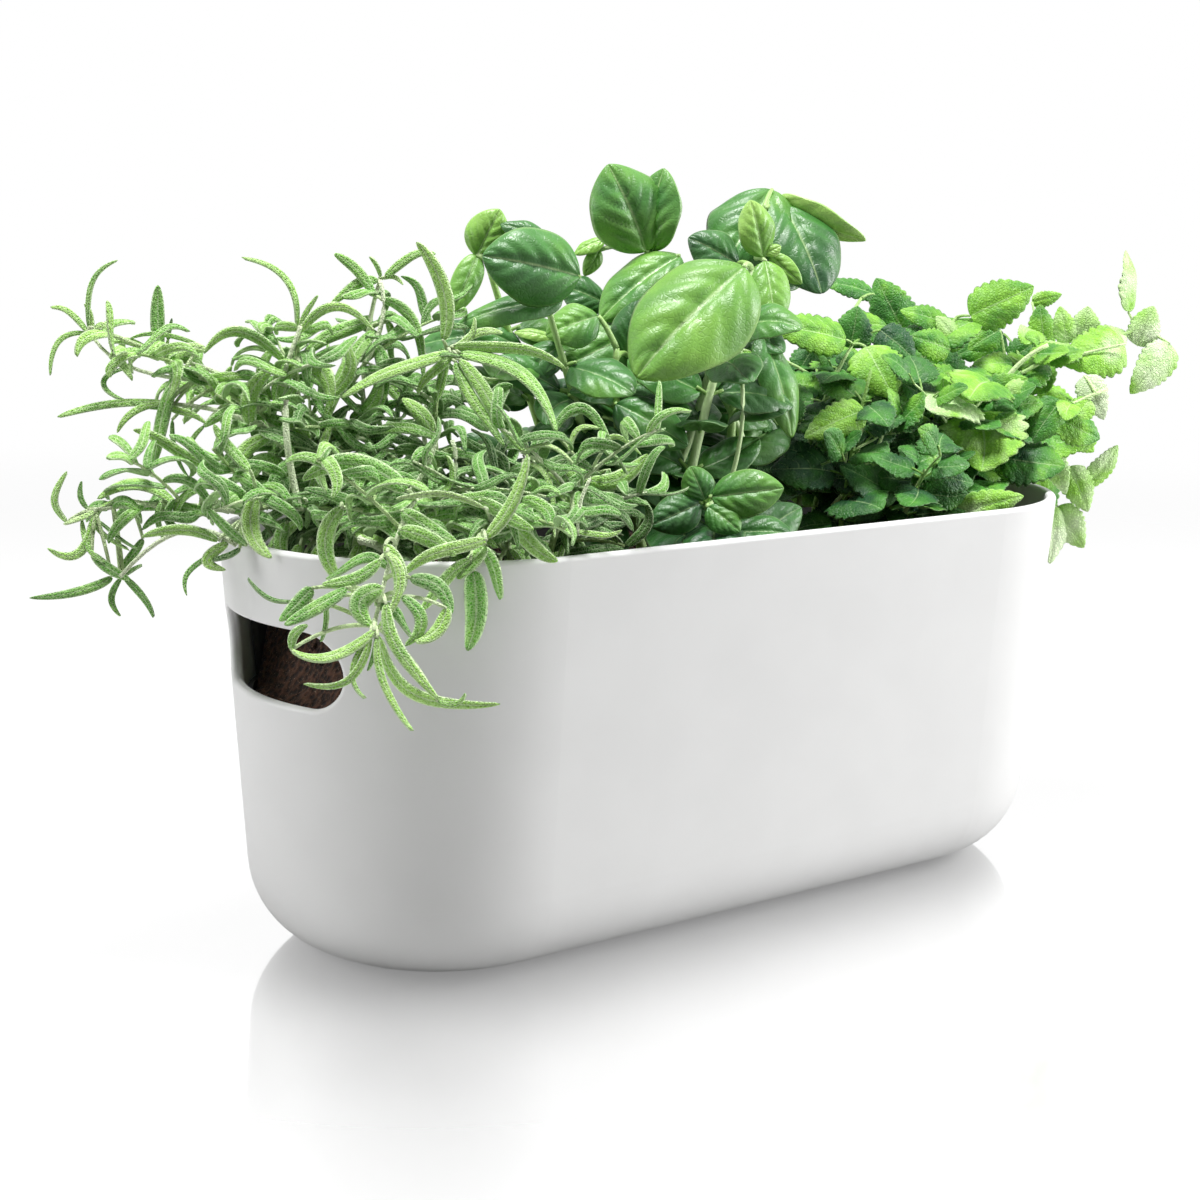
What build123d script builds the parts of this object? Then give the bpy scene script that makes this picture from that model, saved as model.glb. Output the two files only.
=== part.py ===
from build123d import *
import math
import os

os.makedirs("parts", exist_ok=True)

# Trough: a tapered stadium with a rounded bottom edge
trough_length = 360.0
trough_width = 154.0
trough_height = 149.0
wall = 4.0
floor_thickness = 4.0
wall_draft = 4.0
bottom_radius = 33.0
rim_radius = 1.5
foot_width = 9.0
foot_depth = 1.2
through_all = 500.0

# Hand slot through each end
slot_length = 76.0
slot_height = 26.0
slot_centre = 110.0
slot_edge_radius = 1.5
slot_reach = 8.0

# Planting liner: the lift-out tray above the water
liner_clearance = 1.2
liner_wall = 1.8
liner_rim_drop = 12.0
liner_floor_height = 32.0
liner_corner_radius = 6.0
liner_leg_radius = 6.0
liner_leg_pitch = 92.0
liner_leg_row = 52.0
leg_stand_gap = 0.3
notch_length = 96.0
notch_bottom = 92.0
drain_hole_radius = 2.5
drain_pitch = 24.0
drain_count = 12

# Wicks between the water and the soil
wick_radius = 2.0
wick_clearance = 0.4
wick_rise = 12.0
wick_bend_radius = 9.0
wick_tail = 24.0
wick_floor_gap = 0.3
wick_offset = 42.0

# Soil and the three root balls
soil_clearance = 0.3
soil_drop = 23.0
soil_end_height = 90.0
soil_flat_half = 132.0
soil_end_half = 158.0
soil_round = 14.0
herb_pitch = 92.0
ball_top_radius = 38.0
ball_bottom_radius = 30.0
ball_height = 70.0

# Herbs
foliage_height = 135.0
leaf_gap = 1.2
stem_seat_gap = 0.1
rosemary_leaf = 38.0
rosemary_leaf_width = 5.2
rosemary_leaf_thickness = 1.1
rosemary_stem_radius = 1.4
basil_leaf = 56.0
basil_leaf_width = 36.0
basil_leaf_thickness = 0.9
basil_stem_radius = 2.1
balm_leaf = 31.0
balm_leaf_width = 24.0
balm_leaf_thickness = 0.8
balm_stem_radius = 1.3
petiole_width = 2.0
petiole_tip_width = 1.6

# Heights that follow from the sizes above
half_length = trough_length / 2
half_width = trough_width / 2
soil_top = trough_height - soil_drop
liner_rim = trough_height - liner_rim_drop
draft_slope = math.tan(math.radians(wall_draft))
liner_inset = wall + liner_clearance
soil_inset = liner_inset + liner_wall + soil_clearance


# The tapered stadium block that every wall of the trough follows
def trough_block(inset, top, bottom, edge_radius):
    narrowing = 2 * (inset + (trough_height - top) * draft_slope)
    with BuildPart() as block:
        with BuildSketch(Plane((0, 0, top), z_dir=(0, 0, -1))):
            SlotOverall(trough_length - narrowing, trough_width - narrowing)
        extrude(amount=top - bottom, taper=wall_draft)
        fillet(block.faces().sort_by(Axis.Z)[0].edges(), edge_radius)
    return block.part


# True for the walls that a hand slot cuts through the shell
def is_slot_wall(face):
    box = face.bounding_box()
    return box.size.Y <= slot_length and abs((box.min.Z + box.max.Z) / 2 - slot_centre) <= slot_height / 2


# Outer shell
outer_form = trough_block(0, trough_height, 0, bottom_radius)
water_space = trough_block(wall, trough_height, floor_thickness, bottom_radius - wall)
foot_narrowing = 2 * (trough_height * draft_slope + bottom_radius + foot_width)
with BuildPart() as outer_shell:
    add(outer_form)
    add(water_space, mode=Mode.SUBTRACT)
    with BuildSketch(Plane.XY):
        SlotOverall(trough_length - foot_narrowing, trough_width - foot_narrowing)
    extrude(amount=foot_depth, mode=Mode.SUBTRACT)
    fillet(outer_shell.faces().sort_by(Axis.Z)[-1].edges(), rim_radius)
    with BuildSketch(Plane.YZ):
        with Locations((0, slot_centre)):
            SlotOverall(slot_length, slot_height)
    extrude(amount=through_all, both=True, mode=Mode.SUBTRACT)
    slot_faces = outer_shell.faces().filter_by(is_slot_wall)
    fillet([e for f in slot_faces for e in f.edges() if e.length > slot_height], slot_edge_radius)
outer_shell.part.label = "outer_shell"
export_step(outer_shell.part, "parts/outer_shell.step")

# Planting liner: tray, finger notches, legs, drain holes and wick holes
liner_form = trough_block(liner_inset, liner_rim, liner_floor_height, liner_corner_radius)
liner_space = trough_block(
    liner_inset + liner_wall,
    liner_rim,
    liner_floor_height + liner_wall,
    liner_corner_radius - liner_wall,
)
leg_places = [
    (x, y)
    for x in (-liner_leg_pitch, 0, liner_leg_pitch)
    for y in (-liner_leg_row / 2, liner_leg_row / 2)
]
wick_places = [-herb_pitch + wick_offset, 0, herb_pitch - wick_offset]
with BuildPart() as planting_liner:
    add(liner_form)
    with BuildSketch(Plane.XY.offset(floor_thickness + leg_stand_gap)):
        with Locations(*leg_places):
            Circle(liner_leg_radius)
    extrude(amount=liner_floor_height - floor_thickness - leg_stand_gap + liner_wall)
    add(liner_space, mode=Mode.SUBTRACT)
    with BuildSketch(Plane.YZ.offset(half_width)):
        with Locations((0, notch_bottom + through_all / 2)):
            Rectangle(notch_length, through_all)
    extrude(amount=through_all, mode=Mode.SUBTRACT)
    with BuildSketch(Plane.YZ.offset(-half_width)):
        with Locations((0, notch_bottom + through_all / 2)):
            Rectangle(notch_length, through_all)
    extrude(amount=-through_all, mode=Mode.SUBTRACT)
    with BuildSketch(Plane.XY.offset(liner_floor_height)):
        with GridLocations(drain_pitch, 2 * drain_pitch / 3, drain_count // 2, 2):
            Circle(drain_hole_radius)
        with Locations(*[(x, 0) for x in wick_places]):
            Circle(wick_radius + wick_clearance)
    extrude(amount=liner_wall, mode=Mode.SUBTRACT)
planting_liner.part.label = "planting_liner"
export_step(planting_liner.part, "parts/planting_liner.step")

# Wicks: up into the soil, down through the liner floor, then along the shell floor
wick_low = floor_thickness + wick_floor_gap + wick_radius
wick_high = liner_floor_height + liner_wall + wick_rise
for wick_name, wick_x in zip(("left", "middle", "right"), wick_places):
    with BuildPart() as wick:
        with BuildLine() as wick_route:
            FilletPolyline(
                (wick_x, 0, wick_high),
                (wick_x, 0, wick_low),
                (wick_x + wick_bend_radius + wick_tail, 0, wick_low),
                radius=wick_bend_radius,
            )
        with BuildSketch(Plane((wick_x, 0, wick_high), z_dir=(0, 0, -1))):
            Circle(wick_radius)
        sweep()
    wick.part.label = "wick_" + wick_name
    export_step(wick.part, "parts/wick_" + wick_name + ".step")

# Root balls, level with the soil
herb_places = {"rosemary": -herb_pitch, "basil": 0, "lemon_balm": herb_pitch}


def root_ball_form(place, grown):
    with BuildPart() as ball:
        with BuildSketch(Plane.XY.offset(soil_top - ball_height - grown)):
            with Locations((place, 0)):
                Circle(ball_bottom_radius + grown)
        with BuildSketch(Plane.XY.offset(soil_top)):
            with Locations((place, 0)):
                Circle(ball_top_radius + grown)
        loft()
    return ball.part


for herb, place in herb_places.items():
    root_ball = root_ball_form(place, 0)
    root_ball.label = "root_ball_" + herb
    export_step(root_ball, "parts/root_ball_" + herb + ".step")

# Soil: flat between the herbs, sloping down behind each hand slot
soil_form = trough_block(
    soil_inset,
    liner_rim,
    liner_floor_height + liner_wall + soil_clearance,
    liner_corner_radius - liner_wall - soil_clearance,
)
soil_pockets = [root_ball_form(place, soil_clearance) for place in herb_places.values()]
with BuildPart() as potting_soil:
    add(soil_form)
    with BuildSketch(Plane.XZ):
        with BuildLine():
            FilletPolyline(
                (-half_length, 0),
                (-half_length, soil_end_height),
                (-soil_end_half, soil_end_height),
                (-soil_flat_half, soil_top),
                (soil_flat_half, soil_top),
                (soil_end_half, soil_end_height),
                (half_length, soil_end_height),
                (half_length, 0),
                radius=soil_round,
                close=True,
            )
        make_face()
    extrude(amount=trough_width, both=True, mode=Mode.INTERSECT)
    for pocket in soil_pockets:
        add(pocket, mode=Mode.SUBTRACT)
    with BuildSketch(Plane.XY.offset(liner_floor_height)):
        with Locations(*[(x, 0) for x in wick_places]):
            Circle(wick_radius + soil_clearance)
    extrude(amount=wick_high - liner_floor_height + soil_clearance, mode=Mode.SUBTRACT)
potting_soil.part.label = "potting_soil"
export_step(potting_soil.part, "parts/potting_soil.step")

# Each herb: leaf length, width, thickness, stem radius, blade outline (place, width),
# fold of the blade, and filler leaves as (first place, step, count, rise, length, width)
rosemary_outline_share = ((0, 0.36), (0.16, 0.85), (0.5, 1.0), (0.84, 0.78), (1, 0.14))
basil_outline_share = ((0.25, 0.6), (0.45, 1), (0.68, 0.84), (0.88, 0.42), (1, 0.04))
balm_outline_share = ((0.34, 0.72), (0.52, 1), (0.74, 0.84), (0.9, 0.48), (1, 0.08))
petiole_end_share = {"rosemary": 0, "basil": 0.1, "lemon_balm": 0.18}
fold_share = {"rosemary": -0.16, "basil": 0.16, "lemon_balm": 0.1}
leaf_sizes = {
    "rosemary": (rosemary_leaf, rosemary_leaf_width, rosemary_leaf_thickness),
    "basil": (basil_leaf, basil_leaf_width, basil_leaf_thickness),
    "lemon_balm": (balm_leaf, balm_leaf_width, balm_leaf_thickness),
}
outline_share = {
    "rosemary": rosemary_outline_share,
    "basil": basil_outline_share,
    "lemon_balm": balm_outline_share,
}
stem_radius = {
    "rosemary": rosemary_stem_radius,
    "basil": basil_stem_radius,
    "lemon_balm": balm_stem_radius,
}
filler_share = {
    "rosemary": (0.36, 0.1, 6, 28, 0.72, 0.9),
    "basil": (0.5, 0.2, 2, 12, 0.62, 0.8),
    "lemon_balm": (0.42, 0.16, 3, 10, 0.66, 0.9),
}
stem_tip_share = 0.62
light_share = (-0.4, -0.55, 0.73)

# Stems: root in shares of the root ball's radius, then bend and tip in shares of the trough's
# half length, its half width and the height of the foliage above the soil.
# Leaves: place along the stem, heading and rise in degrees, length, bow and width in shares.
rosemary_share = (
    (
        (-0.53, 0.42), (-0.81, 0.47, 0.52), (-1.14, 0.78, 0.67),
        (
            (1, -90, 46, 0.9, 0.16, 0.6), (0.97, 138, 24, 0.5, -0.05, 0.8),
            (0.93, 120, -26, 0.85, 0.34, 0.6), (1, 45, -5, 0.5, 0.1, 0.8),
            (0.8, 175, 12, 0.45, 0, 0.7),
            (0.66, 142, 4, 1.1, 0.15, 0.6), (0.6, 142, 6, 1.05, 0.1, 0.7),
        ),
    ),
    (
        (-0.37, 0.11), (-0.77, 0.26, 0.4), (-1.02, 0.58, 0.59),
        (
            (1, -128, 60, 0.85, -0.05, 1.5), (0.97, -134, -44, 1.15, 0.12, 1.25),
            (0.9, 146, -16, 1.35, 0.08, 1), (0.9, 150, -32, 0.9, 0.08, 0.9),
            (1, -114, 48, 0.55, 0, 0.8), (0.96, 10, 2, 1.1, 0.3, 1.1),
            (0.8, 146, -18, 0.95, 0.1, 1),
            (0.62, 90, 44, 0.95, 0.05, 0.7),
        ),
    ),
    (
        (-0.84, 0.08), (-0.87, 0.23, 0.29), (-1.2, 0.47, 0.24),
        (
            (1, -140, 40, 0.65, -0.1, 0.9), (0.97, -162, -20, 0.75, 0.15, 1),
            (0.93, 154, -44, 1.15, 0.12, 0.9), (0.86, -114, -50, 1.1, 0.05, 1.2),
            (0.97, 24, -4, 0.8, 0.22, 1.3), (0.86, 78, -32, 0.95, -0.2, 0.9),
            (0.75, 160, -58, 1.15, 0.15, 0.8), (0.7, 102, -26, 0.9, 0.1, 1),
        ),
    ),
    (
        (-0.58, 0.32), (-0.89, 0.21, 0.37), (-0.8, 0.32, 0.7),
        (
            (1, -166, 38, 0.9, 0.28, 0.75), (1, -100, 26, 0.5, 0, 0.7),
            (0.72, -90, 38, 1, 0.2, 1), (0.72, 108, 12, 0.85, 0.25, 0.8), (0.55, -168, 0, 0.9, 0.2, 1),
            (0.55, 52, 0, 0.9, 0.2, 1),
        ),
    ),
    (
        (-0.16, 0.42), (-0.79, 0.13, 0.37), (-0.61, 0.39, 0.79),
        (
            (1, -152, 20, 0.85, 0.12, 1.1), (1, -140, 38, 0.35, 0, 0.6),
            (1, -92, 4, 0.4, 0.2, 0.7), (0.97, -150, -6, 0.9, 0.12, 1),
            (0.85, -88, -20, 0.95, 0.25, 1.1),
            (0.8, 44, 2, 0.7, 0.2, 1), (0.62, -150, -8, 0.75, 0.12, 1.2),
            (0.6, -106, 2, 1.15, 0.2, 1.1),
        ),
    ),
    (
        (0.11, 0.05), (-0.64, 0, 0.37), (-0.56, 0, 0.62),
        (
            (1, -158, 62, 1.1, 0.16, 1.3), (1, -90, 40, 0.5, -0.05, 0.8),
            (0.97, -66, 0, 1.2, 0.1, 1.1), (0.97, 22, 12, 0.9, 0.15, 0.9),
            (0.93, -68, -20, 1.35, 0.14, 1.15), (0.9, -90, -24, 1.45, 0.03, 1.4),
            (0.88, -168, -6, 1.25, 0.06, 1.3),
            (0.8, 22, -36, 0.85, 0.15, 1),
        ),
    ),
    (
        (-0.42, -0.53), (-0.76, -0.57, 0.59), (-0.96, -0.91, 0.05),
        (
            (1, -154, -8, 0.85, 0.12, 1.2), (1, 170, -36, 0.75, 0.15, 0.8),
            (1, -140, -66, 0.6, -0.1, 0.7), (1, -76, -62, 0.9, 0.12, 0.8),
            (0.98, -46, -34, 1.2, -0.14, 1), (0.93, -84, -54, 0.9, -0.05, 1),
            (0.72, -126, -18, 1.3, 0.35, 1.6), (0.72, 18, -28, 0.95, 0.15, 1.3),
            (0.5, -100, 4, 0.95, 0.1, 1),
        ),
    ),
    (
        (0, -0.68), (-0.62, -0.75, 0.32), (-0.74, -0.91, 0.24),
        (
            (1, -172, -8, 0.85, 0.15, 1.2), (1, -100, 51, 1.1, 0.02, 1.5),
            (0.97, -90, -2, 1, 0.1, 1.4), (0.97, -131, -43, 1.1, 0.2, 1.7),
            (0.93, -148, -20, 0.95, 0.2, 1.3), (0.85, 30, -10, 0.9, 0.2, 1),
        ),
    ),
    (
        (0.42, -0.58), (-0.47, -0.73, 0.46), (-0.58, -1.01, 0.24),
        (
            (1, -140, -31, 0.95, 0.1, 1.1), (1, -115, -22, 0.6, 0.05, 0.8),
            (0.97, -60, -4, 0.8, 0.1, 0.8), (0.8, 86, 21, 0.95, 0.25, 0.8),
            (1, -164, -30, 1, 0.15, 0.9), (0.8, 44, 5, 0.7, 0.2, 1),
        ),
    ),
    (
        (0.63, -0.32), (-0.39, -0.34, 0.13), (-0.35, -0.42, 0.3),
        (
            (1, -160, 20, 0.5, 0.05, 1.6), (1, -84, 22, 0.9, 0.05, 1.3),
            (0.95, 78, 36, 0.75, 0.2, 1), (0.9, 30, 28, 0.85, 0.25, 1),
            (0.7, -90, 0, 0.8, 0.1, 1.2), (0.6, 4, 10, 0.9, 0.15, 1.2),
        ),
    ),
    (
        (-0.79, -0.21), (-0.83, -0.05, 0.37), (-1, 0, 0.23),
        (
            (1, 180, -44, 0.85, 0.15, 0.8), (1, -146, -25, 0.75, 0.15, 1),
            (0.97, -114, -16, 0.9, 0.2, 1.6), (0.8, -112, -14, 0.95, 0.15, 1),
        ),
    ),
    (
        (0.26, 0.47), (-0.51, 0.42, 0.31), (-0.49, 0.49, 0.51),
        (
            (1, 34, 42, 0.75, 0.05, 0.9), (1, -166, 14, 0.65, 0.2, 0.9),
            (0.95, -86, 0, 0.85, 0.2, 1), (0.8, -136, -10, 0.8, 0.2, 1),
            (0.7, 40, -10, 0.9, 0.2, 1),
        ),
    ),
    (
        (-0.68, 0.53), (-0.78, 0.29, 0.28), (-0.89, 0.31, 0.44),
        (
            (1, -124, 42, 0.75, 0.1, 1.3), (1, -152, -4, 0.85, 0.25, 1.1),
            (0.85, 175, -10, 0.85, 0.2, 1.1),
        ),
    ),
    (
        (-0.47, -0.32), (-0.73, -0.39, 0.25), (-0.9, -0.42, 0.28),
        (
            (1, -130, 56, 0.95, 0.1, 1.2), (1, -146, -18, 0.95, 0.2, 1.4),
            (0.95, -128, -26, 0.9, 0.25, 1.4),
            (0.8, 110, 4, 0.6, 0.2, 1.1),
        ),
    ),
)
basil_share = (
    (
        (-0.26, -0.37), (0.01, -0.21, 0.52), (0.11, -0.26, 0.83),
        (
            (1, 174, -36, 1.15, 0.1, 1.12), (1, -114, -42, 0.55, 0.1, 1),
            (1, -148, 84, 0.5, 0.05, 1), (0.86, -92, -46, 1.1, 0.25, 0.7),
        ),
    ),
    (
        (0.66, -0.18), (0.13, -0.03, 0.52), (0.27, 0.08, 0.99),
        (
            (1, -84, -36, 0.9, 0.25, 1.3), (1, 120, -22, 0.85, 0.35, 1.1),
            (1, -8, -14, 0.9, 0.2, 0.5), (1, 54, 24, 0.7, 0.05, 0.9),
            (0.85, -60, -6, 0.5, 0.1, 0.8),
        ),
    ),
    (
        (0.5, 0.26), (0.12, 0.16, 0.33), (0.11, 0.22, 0.62),
        (
            (1, -140, 20, 0.6, 0.2, 1), (0.8, 11, -8, 0.85, 0.1, 0.9),
        ),
    ),
    (
        (0.05, 0.5), (0.02, 0.36, 0.46), (0.07, 0.42, 0.87),
        (
            (1, -152, 50, 0.8, 0.02, 1.3), (1, 100, 39, 0.8, 0.02, 1.3),
            (1, -158, -29, 0.9, 0.2, 1),
            (0.86, 91, 13, 0.85, 0.1, 0.9),
        ),
    ),
    (
        (-0.47, 0.16), (-0.17, 0.18, 0.37), (-0.28, 0.16, 0.74),
        (
            (1, -156, 24, 0.85, 0.2, 1.35), (0.9, -168, 2, 0.85, 0.12, 1),
        ),
    ),
    (
        (-0.63, 0.53), (-0.23, 0.44, 0.44), (-0.32, 0.52, 0.84),
        (
            (1, -144, 38, 0.45, 0.05, 1.2), (1, 28, 48, 0.45, 0.05, 1),
            (0.9, -154, -12, 0.5, 0.15, 1), (0.9, 16, 36, 0.85, 0.1, 0.9),
        ),
    ),
    (
        (-0.21, 0.08), (-0.12, 0.13, 0.34), (-0.13, 0.06, 0.61),
        (
            (0.9, 20, -10, 0.6, 0.1, 0.8),
            (0.8, -96, -22, 0.7, 0.15, 1.1),
        ),
    ),
    (
        (-0.05, -0.84), (-0.01, -0.47, 0.1), (-0.09, -0.52, 0.22),
        (
            (1, -170, 48, 0.35, 0.08, 1.2), (1, -78, 14, 0.6, 0.08, 1.1),
            (1, -94, -26, 0.4, 0.1, 1.2), (1, 106, -32, 0.5, 0.08, 1.2),
        ),
    ),
)
lemon_balm_share = (
    (
        (0.16, 0.21), (0.62, 0.1, 0.4), (0.87, 0.05, 0.67),
        (
            (1, -34, 22, 1.1, 0.25, 1.3), (1, 102, 14, 0.85, 0.15, 1),
            (0.9, -68, 0, 0.85, 0.1, 1), (0.9, -158, -10, 0.85, 0.1, 1),
        ),
    ),
    (
        (0.53, -0.05), (0.78, -0.1, 0.52), (1.29, -0.39, 0.63),
        (
            (1, -30, 36, 0.45, 0.1, 1.2), (1, 56, 78, 1.1, 0.1, 0.8),
            (1, -76, -72, 0.8, 0.1, 1), (0.9, -166, -6, 1, 0.2, 1.35),
            (0.85, -68, -68, 1.05, 0.2, 1.1), (0.75, -14, 64, 0.9, 0.1, 1),
        ),
    ),
    (
        (-0.53, 0.11), (0.39, 0.13, 0.29), (0.59, 0.18, 0.59),
        (
            (1, 140, 10, 1.05, 0.2, 1.2), (1, 76, 78, 0.85, 0.1, 1),
            (0.8, -170, -10, 0.7, 0.1, 1), (0.8, -26, 48, 1, 0.1, 1),
        ),
    ),
    (
        (-0.37, -0.32), (0.43, -0.18, 0.22), (0.5, -0.18, 0.53),
        (
            (1, -110, -12, 0.9, 0.15, 1.35),
            (0.8, -176, -12, 1.05, 0.25, 1.2), (0.8, -134, -24, 0.95, 0.15, 1.1),
        ),
    ),
    (
        (-0.05, 0.47), (0.56, 0.31, 0.37), (0.91, 0.36, 0.62),
        (
            (1, 128, 50, 1.05, 0.1, 1.1), (1, 10, 40, 0.7, 0.1, 1),
        ),
    ),
    (
        (0.32, -0.37), (0.67, -0.31, 0.34), (0.84, -0.34, 0.48),
        (
            (1, -160, -8, 1, 0.2, 1.2), (1, -50, -48, 0.55, 0.2, 1.2),
            (0.8, -128, -48, 1.05, 0.2, 1.4), (0.8, -174, 0, 1, 0.15, 1.2),
        ),
    ),
    (
        (0.68, 0.16), (0.83, 0.08, 0.33), (1.15, -0.05, 0.36),
        (
            (1, 12, 20, 0.8, 0.15, 1), (1, -172, -10, 0.9, 0.15, 1.1),
            (0.8, -88, -42, 0.9, 0.15, 1.3), (0.8, -36, 10, 1.05, 0.1, 1),
        ),
    ),
    (
        (0.68, -0.32), (0.82, -0.34, 0.33), (1.06, -0.65, 0.47),
        (
            (1, -118, 15, 0.75, 0.1, 0.9),
            (0.8, -100, -29, 0.9, 0.15, 1),
        ),
    ),
    (
        (0.74, 0.42), (0.89, 0.16, 0.39), (1.12, -0.1, 0.08),
        (
            (0.93, -44, -29, 0.8, 0.1, 1),
        ),
    ),
    (
        (0, -0.63), (0.54, -0.44, 0.18), (0.51, -0.57, 0.26),
        (
            (1, -160, -10, 0.85, 0.2, 1.3), (0.8, -114, -5, 1.05, 0.25, 1.2),
            (0.7, -148, -18, 0.8, 0.1, 1),
        ),
    ),
    (
        (-0.37, 0.58), (0.42, 0.39, 0.3), (0.72, 0.44, 0.72),
        (
            (1, 140, 8, 0.85, 0.1, 1), (1, 44, 50, 0.65, 0.1, 1),
            (0.8, -30, 30, 1, 0.1, 1),
        ),
    ),
    (
        (0.84, -0.11), (0.88, -0.13, 0.37), (1.13, -0.39, 0.3),
        (
            (1, -88, -4, 0.55, 0.1, 1), (1, -94, -76, 1, 0.15, 1.1),
            (0.85, -130, -40, 0.8, 0.15, 1),
        ),
    ),
    (
        (0.37, 0.53), (0.73, 0.36, 0.39), (1.21, 0, 0.55),
        (
            (1, 128, 50, 0.85, 0.1, 1), (1, 6, 42, 0.75, 0.1, 1),
            (0.8, -34, 14, 1, 0.1, 1),
        ),
    ),
)
herbs_share = {"rosemary": rosemary_share, "basil": basil_share, "lemon_balm": lemon_balm_share}


# A point of the curve that starts at a, bends towards b and ends at c
def curve_point(a, b, c, share):
    return a * (1 - share) ** 2 + b * (2 * share * (1 - share)) + c * share**2


def curve_direction(a, b, c, share):
    return ((b - a) * (1 - share) + (c - b) * share).normalized()


# The root, bend and tip of a stem
def stem_points(herb, row):
    root, bend, tip = row[:3]
    seat = soil_top + stem_seat_gap
    return (
        Vector(herb_places[herb] + root[0] * ball_top_radius, root[1] * ball_top_radius, seat),
        Vector(bend[0] * half_length, bend[1] * half_width, seat + bend[2] * foliage_height),
        Vector(tip[0] * half_length, tip[1] * half_width, seat + tip[2] * foliage_height),
    )


# The midrib's three points and the blade's sideways direction
def leaf_points(herb, stem, leaf):
    along, heading, rise, length, bow, width = leaf
    base = curve_point(*stem, along)
    level = math.cos(math.radians(rise))
    way = Vector(
        level * math.cos(math.radians(heading)),
        level * math.sin(math.radians(heading)),
        math.sin(math.radians(rise)),
    )
    reach = length * leaf_sizes[herb][0]
    tip = base + way * reach
    middle = base + way * (reach / 2) + Vector(0, 0, bow * reach)
    light = Vector(*light_share)
    sideways = way.cross(light - way * way.dot(light)).normalized()
    return (base, middle, tip), sideways


# How wide a leaf's blade may grow: rosemary keeps its width, the others follow their length
def blade_width(herb, leaf):
    width = leaf_sizes[herb][1] * leaf[5]
    return width if herb == "rosemary" else width * leaf[3]


# Points all over a leaf, about one spacing apart
def leaf_net(herb, stem, leaf, spacing):
    midrib, sideways = leaf_points(herb, stem, leaf)
    width = blade_width(herb, leaf)
    rows = max(6, math.ceil(leaf[3] * leaf_sizes[herb][0] / spacing))
    columns = max(1, math.ceil(width / 2 / spacing))
    outline = ((0, petiole_width / width),) + outline_share[herb]
    net = []
    for row in range(1, rows + 1):
        share = row / rows
        half = width / 2 * width_at(outline, share)
        centre = curve_point(*midrib, share)
        for column in range(-columns, columns + 1):
            net.append(centre + sideways * (half * column / columns))
    return net


# The outline's width at a place between two of its stations
def width_at(outline, share):
    for (before, first), (after, second) in zip(outline, outline[1:]):
        if before <= share <= after:
            return first + (second - first) * (share - before) / (after - before)
    return outline[-1][1]


# How far outside the rim's plan a point lies, negative inside
def outside_rim(point):
    past_centre = max(abs(point.X) - (half_length - half_width), 0)
    return math.hypot(past_centre, point.Y) - half_width


# True where a point keeps clear of the shell, the liner, the soil and the hand slots
def clear_of_trough(point):
    plan = outside_rim(point)
    if point.Z > trough_height + leaf_gap:
        return True
    if plan > leaf_gap:
        beside_slot = abs(point.Y) < slot_length / 2 and abs(point.Z - slot_centre) < slot_height
        return plan > slot_reach or not beside_slot
    inset = liner_inset + liner_wall + (trough_height - point.Z) * draft_slope + leaf_gap
    return plan < -inset and point.Z > soil_top + leaf_gap


# Places taken by the leaves and stems so far, in a grid of cells
taken = {}
rosemary_spacing = rosemary_leaf / 15
broad_spacing = balm_leaf / 8
cell_size = broad_spacing * 2
spacings = {"rosemary": rosemary_spacing, "basil": broad_spacing, "lemon_balm": broad_spacing}


def cell_of(point):
    return tuple(math.floor(value / cell_size) for value in (point.X, point.Y, point.Z))


def has_room(net, spacing, owner):
    for point in net:
        if not clear_of_trough(point):
            return False
        x, y, z = cell_of(point)
        near = [(x + i, y + j, z + k) for i in (-1, 0, 1) for j in (-1, 0, 1) for k in (-1, 0, 1)]
        for cell in near:
            for other, reach, other_owner in taken.get(cell, ()):
                apart = (spacing + reach) / math.sqrt(2)
                if other_owner != owner and (point - other).length < apart:
                    return False
    return True


def take_room(net, spacing, owner):
    for point in net:
        taken.setdefault(cell_of(point), []).append((point, spacing, owner))


# Filler leaves grow in opposite pairs, each pair turned a quarter from the last
def filler_leaves(herb, number):
    first, step, count, rise, length, width = filler_share[herb]
    leaves = []
    for pair in range(count):
        heading = 90 * pair + 40 * number
        size = length * (1 + 0.2 * math.sin(3 * pair + number))
        for half_turn in (0, 180):
            leaves.append((first + step * pair, heading + half_turn, rise, size, 0.15, width))
    return leaves


# One leaf: a folded blade lofted along its midrib, on a short petiole
def leaf_solid(herb, stem, leaf):
    midrib, sideways = leaf_points(herb, stem, leaf)
    thickness = leaf_sizes[herb][2]
    width = blade_width(herb, leaf)
    stations = [(share, wide_share * width) for share, wide_share in outline_share[herb]]
    if petiole_end_share[herb]:
        stations = [(0, petiole_width), (petiole_end_share[herb], petiole_tip_width)] + stations
    with BuildPart() as blade:
        for share, wide in stations:
            place = curve_point(*midrib, share)
            way = curve_direction(*midrib, share)
            thick = min(thickness, wide / 2)
            rib = -fold_share[herb] * wide
            with BuildSketch(Plane(place, x_dir=sideways, z_dir=way)):
                Polygon(
                    (-wide / 2, 0),
                    (0, rib - thick / 2),
                    (wide / 2, 0),
                    (0, rib + thick / 2),
                    align=None,
                )
        loft(ruled=True)
    return blade.part


# A stem that thins towards its tip and stands flat on its root ball
def stem_solid(herb, stem):
    radius = stem_radius[herb]
    with BuildPart() as stalk:
        with BuildSketch(Plane(stem[0])):
            Circle(radius)
        for share in (0.2, 0.45, 0.7, 1):
            place = curve_point(*stem, share)
            with BuildSketch(Plane(place, x_dir=(0, 1, 0), z_dir=curve_direction(*stem, share))):
                Circle(radius * (1 - (1 - stem_tip_share) * share))
        loft()
    return stalk.part


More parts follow.
